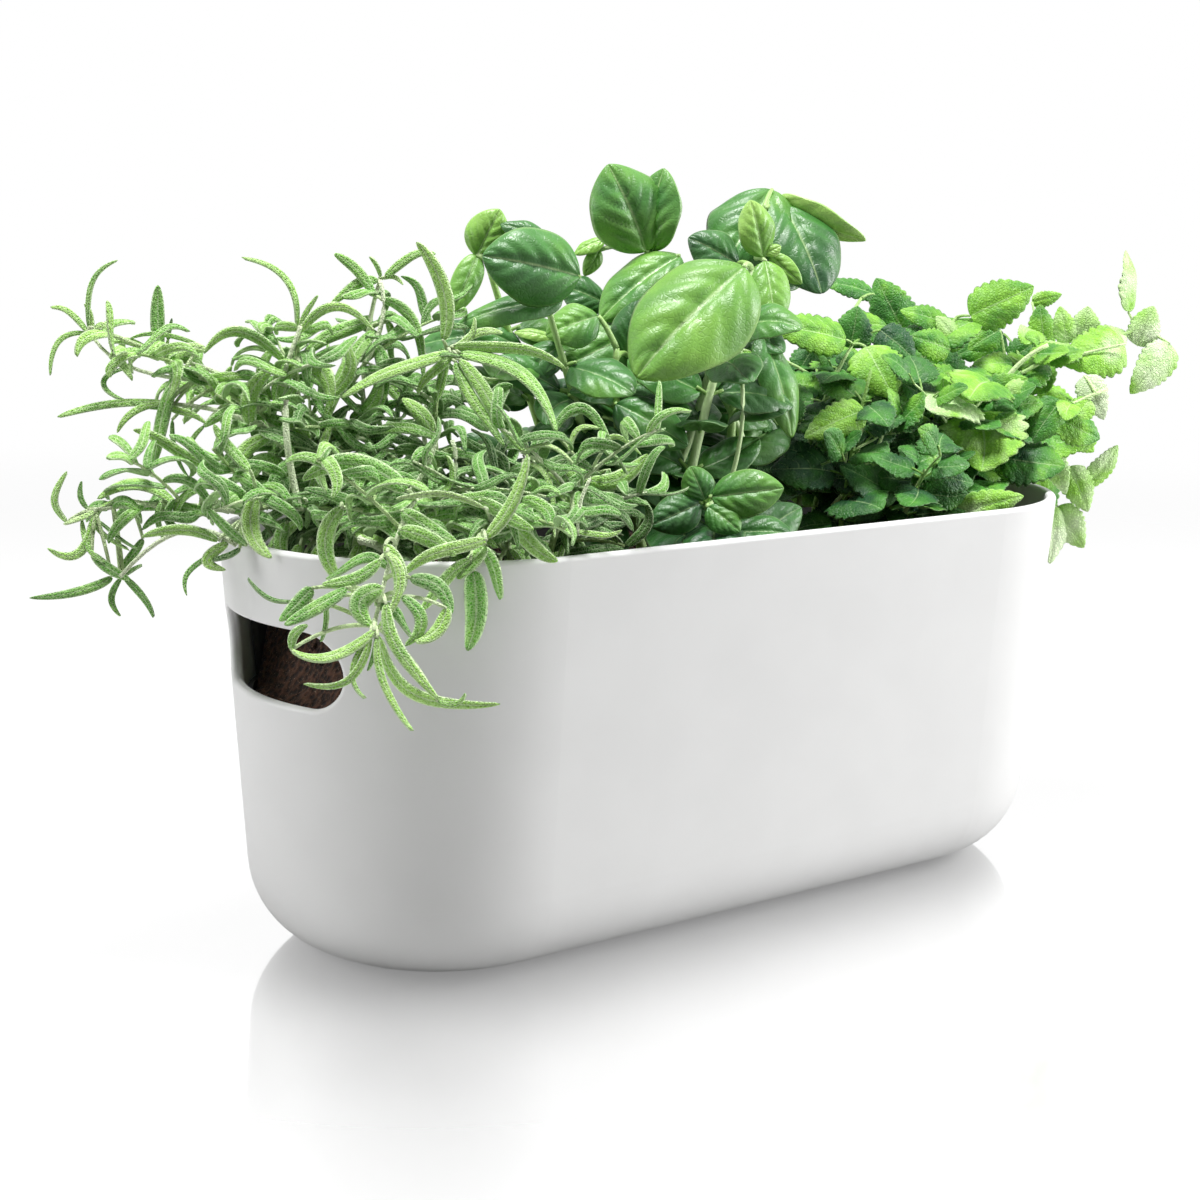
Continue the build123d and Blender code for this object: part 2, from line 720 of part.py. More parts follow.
# Stems claim their room first, then the leaves that show, then the fillers
sprigs = {}
for herb, rows in herbs_share.items():
    for number, row in enumerate(rows, 1):
        name = herb + "_sprig_" + str(number)
        stem = stem_points(herb, row)
        stem_net = [curve_point(*stem, step / 40) for step in range(41)]
        take_room(stem_net, stem_radius[herb] * 2, name)
        sprigs[name] = (herb, number, stem, row[3])
grown = {name: [] for name in sprigs}
left_out = []
for filling in (False, True):
    for name, (herb, number, stem, leaves) in sprigs.items():
        for leaf in filler_leaves(herb, number) if filling else leaves:
            net = leaf_net(herb, stem, leaf, spacings[herb])
            if has_room(net, spacings[herb], name):
                take_room(net, spacings[herb], name)
                grown[name].append(leaf)
            elif not filling:
                left_out.append((name, leaf))
print("leaves", sum(len(leaves) for leaves in grown.values()), "without room", len(left_out))
for name, leaf in left_out:
    print("no room:", name, leaf)

for name, (herb, number, stem, leaves) in sprigs.items():
    pieces = [leaf_solid(herb, stem, leaf) for leaf in grown[name]]
    with BuildPart() as sprig:
        add(stem_solid(herb, stem))
        add(pieces)
    sprig.part.label = name
    export_step(sprig.part, "parts/" + name + ".step")
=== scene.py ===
import bpy
import math
import random
import numpy as np
from mathutils import Matrix, Vector, noise


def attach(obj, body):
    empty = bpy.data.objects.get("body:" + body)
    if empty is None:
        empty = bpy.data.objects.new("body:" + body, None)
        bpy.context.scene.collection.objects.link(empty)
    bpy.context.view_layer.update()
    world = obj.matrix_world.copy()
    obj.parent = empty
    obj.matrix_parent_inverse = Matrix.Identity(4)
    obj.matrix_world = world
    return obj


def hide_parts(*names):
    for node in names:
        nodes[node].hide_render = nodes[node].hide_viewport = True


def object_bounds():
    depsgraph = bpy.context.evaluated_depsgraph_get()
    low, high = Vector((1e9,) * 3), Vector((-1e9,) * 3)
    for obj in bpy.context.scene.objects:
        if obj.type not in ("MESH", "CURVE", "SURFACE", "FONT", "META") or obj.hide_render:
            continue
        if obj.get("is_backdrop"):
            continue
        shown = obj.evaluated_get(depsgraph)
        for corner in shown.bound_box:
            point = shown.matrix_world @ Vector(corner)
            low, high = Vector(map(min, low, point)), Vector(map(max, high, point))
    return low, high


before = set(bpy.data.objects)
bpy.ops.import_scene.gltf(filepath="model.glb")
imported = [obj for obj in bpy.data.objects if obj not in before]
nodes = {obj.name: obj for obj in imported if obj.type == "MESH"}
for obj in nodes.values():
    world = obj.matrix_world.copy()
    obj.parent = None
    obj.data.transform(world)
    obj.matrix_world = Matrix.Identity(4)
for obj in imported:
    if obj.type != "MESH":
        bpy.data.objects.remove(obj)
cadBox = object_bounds()
print("frame loaded:", len(nodes), "nodes")


# Shader maths: one socket, with the usual signs
class Sock:
    def __init__(self, shade, socket):
        self.shade = shade
        self.socket = socket

    def math(self, operation, *others):
        return self.shade.node("ShaderNodeMath", {"operation": operation}, (self, *others))

    def __add__(self, other):
        return self.math("ADD", other)

    def __mul__(self, other):
        return self.math("MULTIPLY", other)

    def __sub__(self, other):
        return self.math("SUBTRACT", other)

    def __rsub__(self, other):  # a number minus this socket
        return self.shade.node("ShaderNodeMath", {"operation": "SUBTRACT"}, (other, self))

    def __truediv__(self, other):
        return self.math("DIVIDE", other)

    def __pow__(self, other):
        return self.math("POWER", other)

    __radd__ = __add__
    __rmul__ = __mul__


# One procedural material, or the world; every node of it comes from node()
class Shade:
    def __init__(self, name, kind="materials", output="ShaderNodeOutputMaterial"):
        self.owner = getattr(bpy.data, kind).new(name)
        self.owner.use_nodes = True
        self.tree = self.owner.node_tree
        self.tree.nodes.clear()
        self.output = self.tree.nodes.new(output)

    def node(self, kind, settings=None, sockets=(), output=0):
        made = self.tree.nodes.new(kind)
        for key, value in (settings or {}).items():
            if key == "stops":
                ramp = made.color_ramp
                while len(ramp.elements) < len(value):
                    ramp.elements.new(0.5)
                for element, (place, colour) in zip(ramp.elements, value):
                    element.position = place
                    element.color = (*colour, 1)
            else:
                setattr(made, key, value)
        pairs = sockets.items() if isinstance(sockets, dict) else enumerate(sockets)
        for key, value in pairs:
            if isinstance(value, Sock):
                self.tree.links.new(value.socket, made.inputs[key])
            elif value is not None:
                made.inputs[key].default_value = value
        return Sock(self, made.outputs[output])

    def attribute(self, name):
        return self.node("ShaderNodeAttribute", {"attribute_name": name}, output="Fac")

    def place(self):
        return self.node("ShaderNodeTexCoord", output="Object")

    def noise(self, scale, detail=2, at=None, rough=0.5):
        sockets = {"Vector": at or self.place(), "Scale": scale, "Detail": detail, "Roughness": rough}
        return self.node("ShaderNodeTexNoise", {}, sockets)

    def cells(self, scale, feature="F1", at=None):
        sockets = {"Vector": at or self.place(), "Scale": scale}
        return self.node("ShaderNodeTexVoronoi", {"feature": feature}, sockets)

    def ramp(self, value, *stops):
        return self.node("ShaderNodeValToRGB", {"stops": stops}, (value,))

    def between(self, value, low, high, out=(0, 1)):
        sockets = (value, low, high, out[0], out[1])
        return self.node("ShaderNodeMapRange", {"interpolation_type": "SMOOTHSTEP"}, sockets)

    def mix(self, factor, a, b):
        settings = {"data_type": "RGBA"}
        return self.node("ShaderNodeMix", settings, {0: factor, 6: full(a), 7: full(b)}, 2)

    def bump(self, height, distance, strength):
        sockets = {"Height": height, "Distance": distance, "Strength": strength}
        return self.node("ShaderNodeBump", {}, sockets)

    def surface(self, **sockets):
        named = {key.replace("_", " "): value for key, value in sockets.items()}
        return self.show(self.node("ShaderNodeBsdfPrincipled", {}, named))

    def show(self, shader):
        self.tree.links.new(shader.socket, self.output.inputs["Surface"])
        return self.owner


# A colour with its alpha; a socket stays as it is
def full(colour):
    return (*colour, 1) if isinstance(colour, tuple) and len(colour) == 3 else colour


def makeObject(name, points, faces, material, smooth=True):
    mesh = bpy.data.meshes.new(name)
    mesh.from_pydata([tuple(p) for p in points], [], [tuple(f) for f in faces])
    mesh.polygons.foreach_set("use_smooth", [smooth] * len(mesh.polygons))
    thing = bpy.data.objects.new(name, mesh)
    bpy.context.collection.objects.link(thing)
    mesh.materials.append(material)
    return thing


def addAttribute(thing, name, values):
    layer = thing.data.attributes.new(name, "FLOAT", "POINT")
    layer.data.foreach_set("value", np.asarray(values, dtype=np.float32))


def giveMaterial(node, material):
    mesh = nodes[node].data
    mesh.materials.clear()
    mesh.materials.append(material)


# Camera: where the photograph was taken from
view = {
    "place": (-0.496006, -0.606911, 0.261457),
    "right": (0.79441849, -0.60709042, 0.0184522),
    "up": (0.10235444, 0.16375999, 0.98117594),
    "focal": 2078.2,  # pixels, on an image 1200 wide
    "centre": (7.87, 8.99),  # the optical axis, right of and below the image's middle
    "image": 1200,
}
right = Vector(view["right"])
up = Vector(view["up"])
back = right.cross(up)
lens = bpy.data.cameras.new("camera")
lens.sensor_width = 36
lens.lens = view["focal"] * lens.sensor_width / view["image"]
lens.shift_x = -view["centre"][0] / view["image"]
lens.shift_y = view["centre"][1] / view["image"]
lens.clip_start = 0.01
lens.clip_end = 50
camera = bpy.data.objects.new("camera", lens)
turn = Matrix((right, up, back)).transposed().to_4x4()
camera.matrix_world = Matrix.Translation(view["place"]) @ turn
bpy.context.collection.objects.link(camera)
bpy.context.scene.camera = camera

# Light: soft boxes right, left and above, with a dim room around
studio = {
    "key": dict(place=(0.87, -0.62, 0.52), aim=(0.1, 0, 0.1), size=(0.5, 0.6), power=12.4),
    "left": dict(place=(-0.95, 0.5, 0.4), aim=(-0.1, 0, 0.1), size=(0.4, 0.6), power=5.0),
    "top": dict(place=(-0.15, -0.05, 1.2), aim=(0, 0, 0.15), size=(0.3, 0.3), power=16),
}
roomStrength = 0.1  # what the room lights with; camera and glossy rays see it white
for name, lamp in studio.items():
    light = bpy.data.lights.new(name, "AREA")
    light.shape = "RECTANGLE"
    light.size, light.size_y = lamp["size"]
    light.energy = lamp["power"]
    rig = bpy.data.objects.new(name, light)
    rig.location = lamp["place"]
    way = Vector(lamp["aim"]) - Vector(lamp["place"])
    rig.rotation_euler = way.to_track_quat("-Z", "Y").to_euler()
    bpy.context.collection.objects.link(rig)

scene = bpy.context.scene
scene.view_settings.view_transform = "Standard"
room = Shade("room", "worlds", "ShaderNodeOutputWorld")
seenBy = [room.node("ShaderNodeLightPath", output=key) for key in ("Is Camera Ray", "Is Glossy Ray")]
white = {"Value": seenBy[0].math("MAXIMUM", seenBy[1]), "To Min": roomStrength, "To Max": 1}
strength = room.node("ShaderNodeMapRange", {}, white)
scene.world = room.show(room.node("ShaderNodeBackground", {}, {"Color": (1, 1, 1, 1), "Strength": strength}))

# Trough: its measures, for the floor's polish, the soil and the leaves' room
trough = {
    "length": 0.36,
    "width": 0.154,
    "height": 0.149,
    "draft": math.tan(math.radians(4)),
    "straightHalf": 0.103,  # half the straight part of its outline
    "footRadius": 0.066,  # half its width at the floor
}

# Floor: white, polished close around the trough, fading into the white room
floorLook = {
    "half": 3.0,
    "bounced": (0.6, 0.02),  # paint and glow that the lamps' light meets
    "seen": (0.2, 0.84),  # paint and glow that the camera sees
    "mirror": 0.66,
    "mirrorReach": 0.23,
    "roughness": 0.07,
    "fadeFrom": 0.7,
    "fadeTo": 1.6,
}


def makeFloor():
    shade = Shade("floorWhite")
    spot = shade.place()
    x, y = (shade.node("ShaderNodeSeparateXYZ", {}, (spot,), k) for k in range(2))
    past = (x.math("ABSOLUTE") - trough["straightHalf"]).math("MAXIMUM", 0)
    outside = (past * past + y * y) ** 0.5 - trough["footRadius"]
    polish = (1 - outside / floorLook["mirrorReach"]).math("MAXIMUM", 0) * floorLook["mirror"]
    coats = []
    for paint, shine in (floorLook["bounced"], floorLook["seen"]):
        matt = shade.node("ShaderNodeBsdfDiffuse", {}, {"Color": (paint, paint, paint, 1)})
        glow = shade.node("ShaderNodeEmission", {}, {"Strength": shine})
        coats.append(shade.node("ShaderNodeAddShader", {}, (matt, glow)))
    bounce, plain = coats
    mirror = {"Color": (1, 1, 1, 1), "Roughness": floorLook["roughness"]}
    gloss = shade.node("ShaderNodeBsdfGlossy", {}, mirror)
    shown = shade.node("ShaderNodeMixShader", {}, (polish, plain, gloss))
    toCamera = shade.node("ShaderNodeLightPath", output="Is Camera Ray")
    surface = shade.node("ShaderNodeMixShader", {}, (toCamera, bounce, shown))
    distance = shade.node("ShaderNodeVectorMath", {"operation": "LENGTH"}, (spot,), 1)
    fade = shade.between(distance, floorLook["fadeFrom"], floorLook["fadeTo"])
    clear = shade.node("ShaderNodeBsdfTransparent")
    material = shade.show(shade.node("ShaderNodeMixShader", {}, (fade, surface, clear)))
    half = floorLook["half"]
    corners = [(-half, -half, 0), (half, -half, 0), (half, half, 0), (-half, half, 0)]
    makeObject("floor", corners, [(0, 1, 2, 3)], material, False)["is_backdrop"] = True


makeFloor()
print("camera, light and floor set")


shellLook = {
    "dark": (0.735, 0.735, 0.73),
    "light": (0.755, 0.755, 0.75),
    "clouds": 30,
    "smudges": 70,
    "rough": (0.5, 0.58),
    "grain": 2600,
    "relief": (0.00004, 0.5),  # distance, strength
}


def shellMaterial():
    shade = Shade("shellPlastic")
    fine = shade.noise(shellLook["grain"])
    tone = shade.between(shade.noise(shellLook["clouds"]), 0.3, 0.7)
    colour = shade.mix(tone, shellLook["dark"], shellLook["light"])
    rough = shade.between(shade.noise(shellLook["smudges"], 3), 0.3, 0.7, shellLook["rough"])
    return shade.surface(Base_Color=colour, Roughness=rough, Normal=shade.bump(fine, *shellLook["relief"]))


linerLook = {
    "dark": (0.028, 0.028, 0.03),
    "light": (0.045, 0.045, 0.045),
    "clouds": 24,
    "marks": 60,
    "rough": (0.42, 0.6),
    "grain": 1500,
    "relief": (0.0001, 0.6),
}


def linerMaterial():
    shade = Shade("linerPlastic")
    grain = shade.noise(linerLook["grain"], 3)
    marks = shade.between(shade.noise(linerLook["marks"], 4), 0.45, 0.7, linerLook["rough"])
    clouds = shade.between(shade.noise(linerLook["clouds"]), 0.3, 0.7)
    colour = shade.mix(clouds, linerLook["dark"], linerLook["light"])
    return shade.surface(Base_Color=colour, Roughness=marks, Normal=shade.bump(grain, *linerLook["relief"]))


rootLook = {
    "root": (0.38, 0.31, 0.2),
    "earth": ((0.012, 0.008, 0.006), (0.06, 0.04, 0.026)),
    "roots": 260,
    "stretch": (1, 1, 0.35),  # the roots run down
    "grain": 900,
    "rough": 0.95,
    "relief": (0.0012, 0.9),
}


def rootMaterial():
    shade = Shade("rootMat")
    where = {"Vector": shade.place(), "Scale": rootLook["stretch"]}
    stretched = shade.node("ShaderNodeMapping", {}, where)
    roots = shade.cells(rootLook["roots"], "DISTANCE_TO_EDGE", stretched)
    fibre = shade.between(roots, 0.02, 0.14)
    grain = shade.noise(rootLook["grain"], 4)
    earth = shade.mix(shade.between(grain, 0.35, 0.7), *rootLook["earth"])
    colour = shade.mix(fibre, rootLook["root"], earth)
    bumps = shade.bump(grain * 0.5 + (1 - fibre) * 0.6, *rootLook["relief"])
    return shade.surface(Base_Color=colour, Roughness=rootLook["rough"], Normal=bumps)


soilTones = {
    "earth": ((0.3, (0.004, 0.0025, 0.002)), (0.5, (0.03, 0.015, 0.009)), (0.72, (0.13, 0.06, 0.035))),
    "speck": (0.42, 0.28, 0.19),
    "grain": 700,
    "clumps": 420,
    "specks": 1500,
    "rough": 0.92,
    "relief": (0.0018, 1.0),
}


def soilMaterial():
    shade = Shade("soil")
    grain = shade.noise(soilTones["grain"], 5, rough=0.65)
    clumps = shade.cells(soilTones["clumps"])
    speck = shade.between(shade.noise(soilTones["specks"]), 0.64, 0.72)
    dark = shade.ramp(clumps * 0.5 + grain * 0.6, *soilTones["earth"])
    colour = shade.mix(speck * 0.7, dark, soilTones["speck"])
    bumps = shade.bump(grain * 0.7 + clumps * 0.9, *soilTones["relief"])
    return shade.surface(Base_Color=colour, Roughness=soilTones["rough"], Normal=bumps)


wickLook = {
    "dark": (0.42, 0.38, 0.3),
    "light": (0.72, 0.69, 0.6),
    "twist": 2600,
    "rough": 0.9,
    "relief": (0.0004, 0.8),
}


def wickMaterial():
    shade = Shade("wickCord")
    x, y, z = (shade.node("ShaderNodeSeparateXYZ", {}, (shade.place(),), k) for k in range(3))
    lay = ((x + y + z) * wickLook["twist"]).math("SINE")
    colour = shade.mix(shade.between(lay, -1, 1), wickLook["dark"], wickLook["light"])
    bumps = shade.bump(lay, *wickLook["relief"])
    return shade.surface(Base_Color=colour, Roughness=wickLook["rough"], Normal=bumps)


giveMaterial("outer_shell", shellMaterial())
giveMaterial("planting_liner", linerMaterial())
for herb in ("rosemary", "basil", "lemon_balm"):
    giveMaterial("root_ball_" + herb, rootMaterial())
for side in ("left", "middle", "right"):
    giveMaterial("wick_" + side, wickMaterial())
print("trough dressed")

# Soil: crumbly, flat in the middle and sloping down behind each hand slot
bed = {
    "top": 0.126,
    "flatHalf": 0.132,
    "endHalf": 0.158,
    "endHeight": 0.09,
    "inset": 0.0073,  # inner face of the tray
    "floor": 0.0341,
    "rings": 44,
    "around": 260,
    "foot": 0.004,  # how far its rounded foot draws in
    "rough": 0.0016,
    "lumps": ((0.004, 1.0), (0.0017, 0.5), (0.011, 1.3)),  # size and weight
    "lumpStep": 900,  # keeps the sizes of lump apart
    "crumbs": 2600,
    "crumb": (0.0006, 0.0021),
    "seed": 4,
    "rimCrumbs": (0.35, 0.12),  # how many lie by the edge, and within what share of the way to it
    "sunk": 0.3,
    "crumbCorners": (
        (1, 1, 1), (-1, -1, 1), (-1, 1, -1), (1, -1, -1), (1, -1, 1), (-1, 1, 1), (1, 1, -1), (-1, -1, -1),
    ),
    "crumbSides": ((0, 5, 1, 4), (6, 3, 7, 2), (0, 4, 3, 6), (5, 2, 7, 1), (0, 6, 2, 5), (4, 1, 7, 3)),
}


def insideTrough(inset, z):
    return inset + (trough["height"] - z) * trough["draft"]


def bedHeight(x):
    share = (abs(x) - bed["flatHalf"]) / (bed["endHalf"] - bed["flatHalf"])
    share = min(max(share, 0), 1)
    eased = share * share * (3 - 2 * share)
    return bed["top"] + (bed["endHeight"] - bed["top"]) * eased


# A point of the trough's outline, seen from above
def stadium(angle, narrowing):
    radius = trough["width"] / 2 - narrowing
    straight = trough["length"] / 2 - trough["width"] / 2
    lap = 4 * straight + 2 * math.pi * radius
    run = angle / (2 * math.pi) * lap
    if run < 2 * straight:
        return straight - run, radius
    run -= 2 * straight
    if run < math.pi * radius:
        turn = run / radius
        return -straight - radius * math.sin(turn), radius * math.cos(turn)
    run -= math.pi * radius
    if run < 2 * straight:
        return -straight + run, -radius
    turn = (run - 2 * straight) / radius
    return straight + radius * math.sin(turn), -radius * math.cos(turn)


def soilRough(x, y):
    total = 0
    for size, weight in bed["lumps"]:
        total += weight * noise.noise(Vector((x / size, y / size, size * bed["lumpStep"])))
    return total * bed["rough"]


def makeSoil():
    points, faces = [], []
    rings, around = bed["rings"], bed["around"]
    for ring in range(rings + 1):
        share = ring / rings
        for step in range(around):
            angle = 2 * math.pi * step / around
            x, y = stadium(angle, 0)
            edge = insideTrough(bed["inset"], bedHeight(x))
            x, y = stadium(angle, edge)
            x, y = x * share, y * share
            z = bedHeight(x) + soilRough(x, y)
            points.append((x, y, z))
    bottom = len(points)
    for step in range(around):
        inset = insideTrough(bed["inset"], bed["floor"]) + bed["foot"]
        x, y = stadium(2 * math.pi * step / around, inset)
        points.append((x, y, bed["floor"]))
    for ring in range(rings):
        for step in range(around):
            a, b = ring * around + step, ring * around + (step + 1) % around
            faces.append((a, b, b + around, a + around))
    last = rings * around
    for step in range(around):
        a, b = step, (step + 1) % around
        faces.append((last + a, last + b, bottom + b, bottom + a))
    faces.append(tuple(bottom + step for step in range(around)))
    soil = makeObject("soilBed", points, faces, soilLook, True)
    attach(soil, "insert")
    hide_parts("potting_soil")


def makeCrumbs():
    dice = random.Random(bed["seed"])
    points, faces = [], []
    low, high = bed["crumb"]
    byRim, rimBand = bed["rimCrumbs"]
    corners = [Vector(p).normalized() for p in bed["crumbCorners"]]
    for _ in range(bed["crumbs"]):
        x, y = stadium(dice.random() * 2 * math.pi, 0)
        share = math.sqrt(dice.random())
        if dice.random() < byRim:
            share = 1 - rimBand * dice.random()
        edge = insideTrough(bed["inset"], bedHeight(x)) + high
        reach = 1 - edge / (trough["width"] / 2)
        x, y = x * share * reach, y * share * reach
        size = low + (high - low) * dice.random() ** 2.5
        z = bedHeight(x) + soilRough(x, y) + size * bed["sunk"]
        start = len(points)
        turned = dice.random() * 6.28
        spin = Matrix.Rotation(turned, 3, Vector((dice.random(), dice.random(), dice.random() + 0.1)))
        stretch = Vector((1, 0.6 + 0.5 * dice.random(), 0.5 + 0.4 * dice.random()))
        for corner in corners:
            rough = size * (0.75 + 0.5 * dice.random())
            points.append(Vector((x, y, z)) + spin @ (corner * stretch) * rough)
        faces += [tuple(start + k for k in side) for side in bed["crumbSides"]]
    crumbs = makeObject("soilCrumbs", points, faces, soilLook, False)
    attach(crumbs, "insert")


soilLook = soilMaterial()
makeSoil()
makeCrumbs()
print("soil laid")

# Herbs: every stem starts on its root ball, and every leaf on its stem
plot = {
    "places": {"rosemary": -0.092, "basil": 0, "lemonBalm": 0.092},
    "ball": 0.038,
    "seat": 0.1261,
    "foliage": 0.135,
    "light": Vector((-0.4, -0.55, 0.73)),
}
# Stems: root in shares of the root ball's radius, then bend and tip in shares of the trough's half
# length, its half width and the foliage's height
stemShares = {
    "rosemary": (
        ((-0.53, 0.42), (-0.81, 0.47, 0.52), (-1.14, 0.78, 0.67)),
        ((-0.37, 0.11), (-0.77, 0.26, 0.4), (-1.02, 0.58, 0.59)),
        ((-0.84, 0.08), (-0.87, 0.23, 0.29), (-1.2, 0.47, 0.24)),
        ((-0.58, 0.32), (-0.89, 0.21, 0.37), (-0.8, 0.32, 0.7)),
        ((-0.16, 0.42), (-0.79, 0.13, 0.37), (-0.61, 0.39, 0.79)),
        ((0.11, 0.05), (-0.64, 0, 0.37), (-0.56, 0, 0.62)),
        ((-0.42, -0.53), (-0.76, -0.57, 0.59), (-0.96, -0.91, 0.05)),
        ((0, -0.68), (-0.62, -0.75, 0.32), (-0.74, -0.91, 0.24)),
        ((0.42, -0.58), (-0.47, -0.73, 0.46), (-0.58, -1.01, 0.24)),
        ((0.63, -0.32), (-0.39, -0.34, 0.13), (-0.35, -0.42, 0.3)),
        ((-0.79, -0.21), (-0.83, -0.05, 0.37), (-1, 0, 0.23)),
        ((0.26, 0.47), (-0.51, 0.42, 0.31), (-0.49, 0.49, 0.51)),
        ((-0.68, 0.53), (-0.78, 0.29, 0.28), (-0.89, 0.31, 0.44)),
        ((-0.47, -0.32), (-0.73, -0.39, 0.25), (-0.9, -0.42, 0.28)),
    ),
    "basil": (
        ((-0.26, -0.37), (0.01, -0.21, 0.52), (0.11, -0.26, 0.83)),
        ((0.66, -0.18), (0.13, -0.03, 0.52), (0.27, 0.08, 0.99)),
        ((0.5, 0.26), (0.12, 0.16, 0.33), (0.11, 0.22, 0.62)),
        ((0.05, 0.5), (0.02, 0.36, 0.46), (0.07, 0.42, 0.87)),
        ((-0.47, 0.16), (-0.17, 0.18, 0.37), (-0.28, 0.16, 0.74)),
        ((-0.63, 0.53), (-0.23, 0.44, 0.44), (-0.32, 0.52, 0.84)),
        ((-0.21, 0.08), (-0.12, 0.13, 0.34), (-0.13, 0.06, 0.61)),
        ((-0.05, -0.84), (-0.01, -0.47, 0.1), (-0.09, -0.52, 0.22)),
    ),
    "lemonBalm": (
        ((0.16, 0.21), (0.62, 0.1, 0.4), (0.87, 0.05, 0.67)),
        ((0.53, -0.05), (0.78, -0.1, 0.52), (1.29, -0.39, 0.63)),
        ((-0.53, 0.11), (0.39, 0.13, 0.29), (0.59, 0.18, 0.59)),
        ((-0.37, -0.32), (0.43, -0.18, 0.22), (0.5, -0.18, 0.53)),
        ((-0.05, 0.47), (0.56, 0.31, 0.37), (0.91, 0.36, 0.62)),
        ((0.32, -0.37), (0.67, -0.31, 0.34), (0.84, -0.34, 0.48)),
        ((0.68, 0.16), (0.83, 0.08, 0.33), (1.15, -0.05, 0.36)),
        ((0.68, -0.32), (0.82, -0.34, 0.33), (1.06, -0.65, 0.47)),
        ((0.74, 0.42), (0.89, 0.16, 0.39), (1.12, -0.1, 0.08)),
        ((0, -0.63), (0.54, -0.44, 0.18), (0.51, -0.57, 0.26)),
        ((-0.37, 0.58), (0.42, 0.39, 0.3), (0.72, 0.44, 0.72)),
        ((0.84, -0.11), (0.88, -0.13, 0.37), (1.13, -0.39, 0.3)),
        ((0.37, 0.53), (0.73, 0.36, 0.39), (1.21, 0, 0.55)),
    ),
}
# The one stem that no placed leaf is nearest to grows its own: place along it, heading and rise in
# degrees, then length, bow and width in shares
ownLeafShares = {("lemonBalm", 6): (
    (1, -160, -8, 1, 0.2, 1.2), (1, -50, -48, 0.55, 0.2, 1.2),
    (0.8, -128, -48, 1.05, 0.2, 1.4), (0.8, -174, 0, 1, 0.15, 1.2),
)}
nodeNames = {"rosemary": "rosemary", "basil": "basil", "lemonBalm": "lemon_balm"}

herbs = {
    "rosemary": {
        "leaf": 0.038,
        "width": 0.0052,
        "thick": 0.0009,
        "stem": 0.0013,
        "grid": (18, 8),
        "shape": (0.3, 0.52),  # how blunt the base and the tip are
        "petiole": 0,
        "fold": 0,  # how steeply each half rises from the midrib
        "cup": -0.34,  # rolled-under margins
        "rib": 0.08,
        "veins": 0,
        "pucker": 0,
        "teeth": 0,
        "roll": 40,
        "twist": 60,
        "curl": 0.13,
        # first place, step, whorls, leaves in a whorl, rise, length, width, least and most hook
        "fill": (0.06, 0.09, 11, 2, 20, 0.82, 0.85, 20, 170),
        "shoots": ((0.25, 0.034), (0.5, 0.04), (0.75, 0.034)),
        "shootLeaves": (9, 0.76, 0.75),  # count, length, width
        "fillTone": (-0.1, 0.72),
    },
    "basil": {
        "leaf": 0.056,
        "width": 0.036,
        "thick": 0.0006,
        "stem": 0.0021,
        "grid": (36, 26),
        "shape": (0.5, 0.7),
        "petiole": 0.1,
        "fold": 0.3,
        "cup": -0.4,
        "rib": 0.02,
        "veins": 4.5,
        "pucker": 0.09,
        "teeth": 0,
        "roll": 10,
        "twist": 14,
        "curl": 0.03,
        "fill": (0.16, 0.12, 6, 2, 10, 0.7, 1.0, 10, 50),
        "shoots": (),
        "shootLeaves": (0, 0, 0),
        "fillTone": (0.0, 0.4),
    },
    "lemonBalm": {
        "leaf": 0.031,
        "width": 0.024,
        "thick": 0.0004,
        "stem": 0.0012,
        "grid": (44, 16),
        "shape": (0.38, 0.78),
        "petiole": 0.18,
        "fold": 0.2,
        "cup": -0.28,
        "rib": 0.02,
        "veins": 5,
        "pucker": 0.055,
        "teeth": 8,
        "toothDepth": 0.18,
        "roll": 14,
        "twist": 18,
        "curl": 0.06,
        "fill": (0.2, 0.13, 6, 2, 10, 1.02, 1.0, 0, 60),
        "shoots": ((0.35, 0.034), (0.6, 0.03)),
        "shootLeaves": (5, 0.75, 0.95),
        "fillTone": (0.0, 0.72),
    },
}

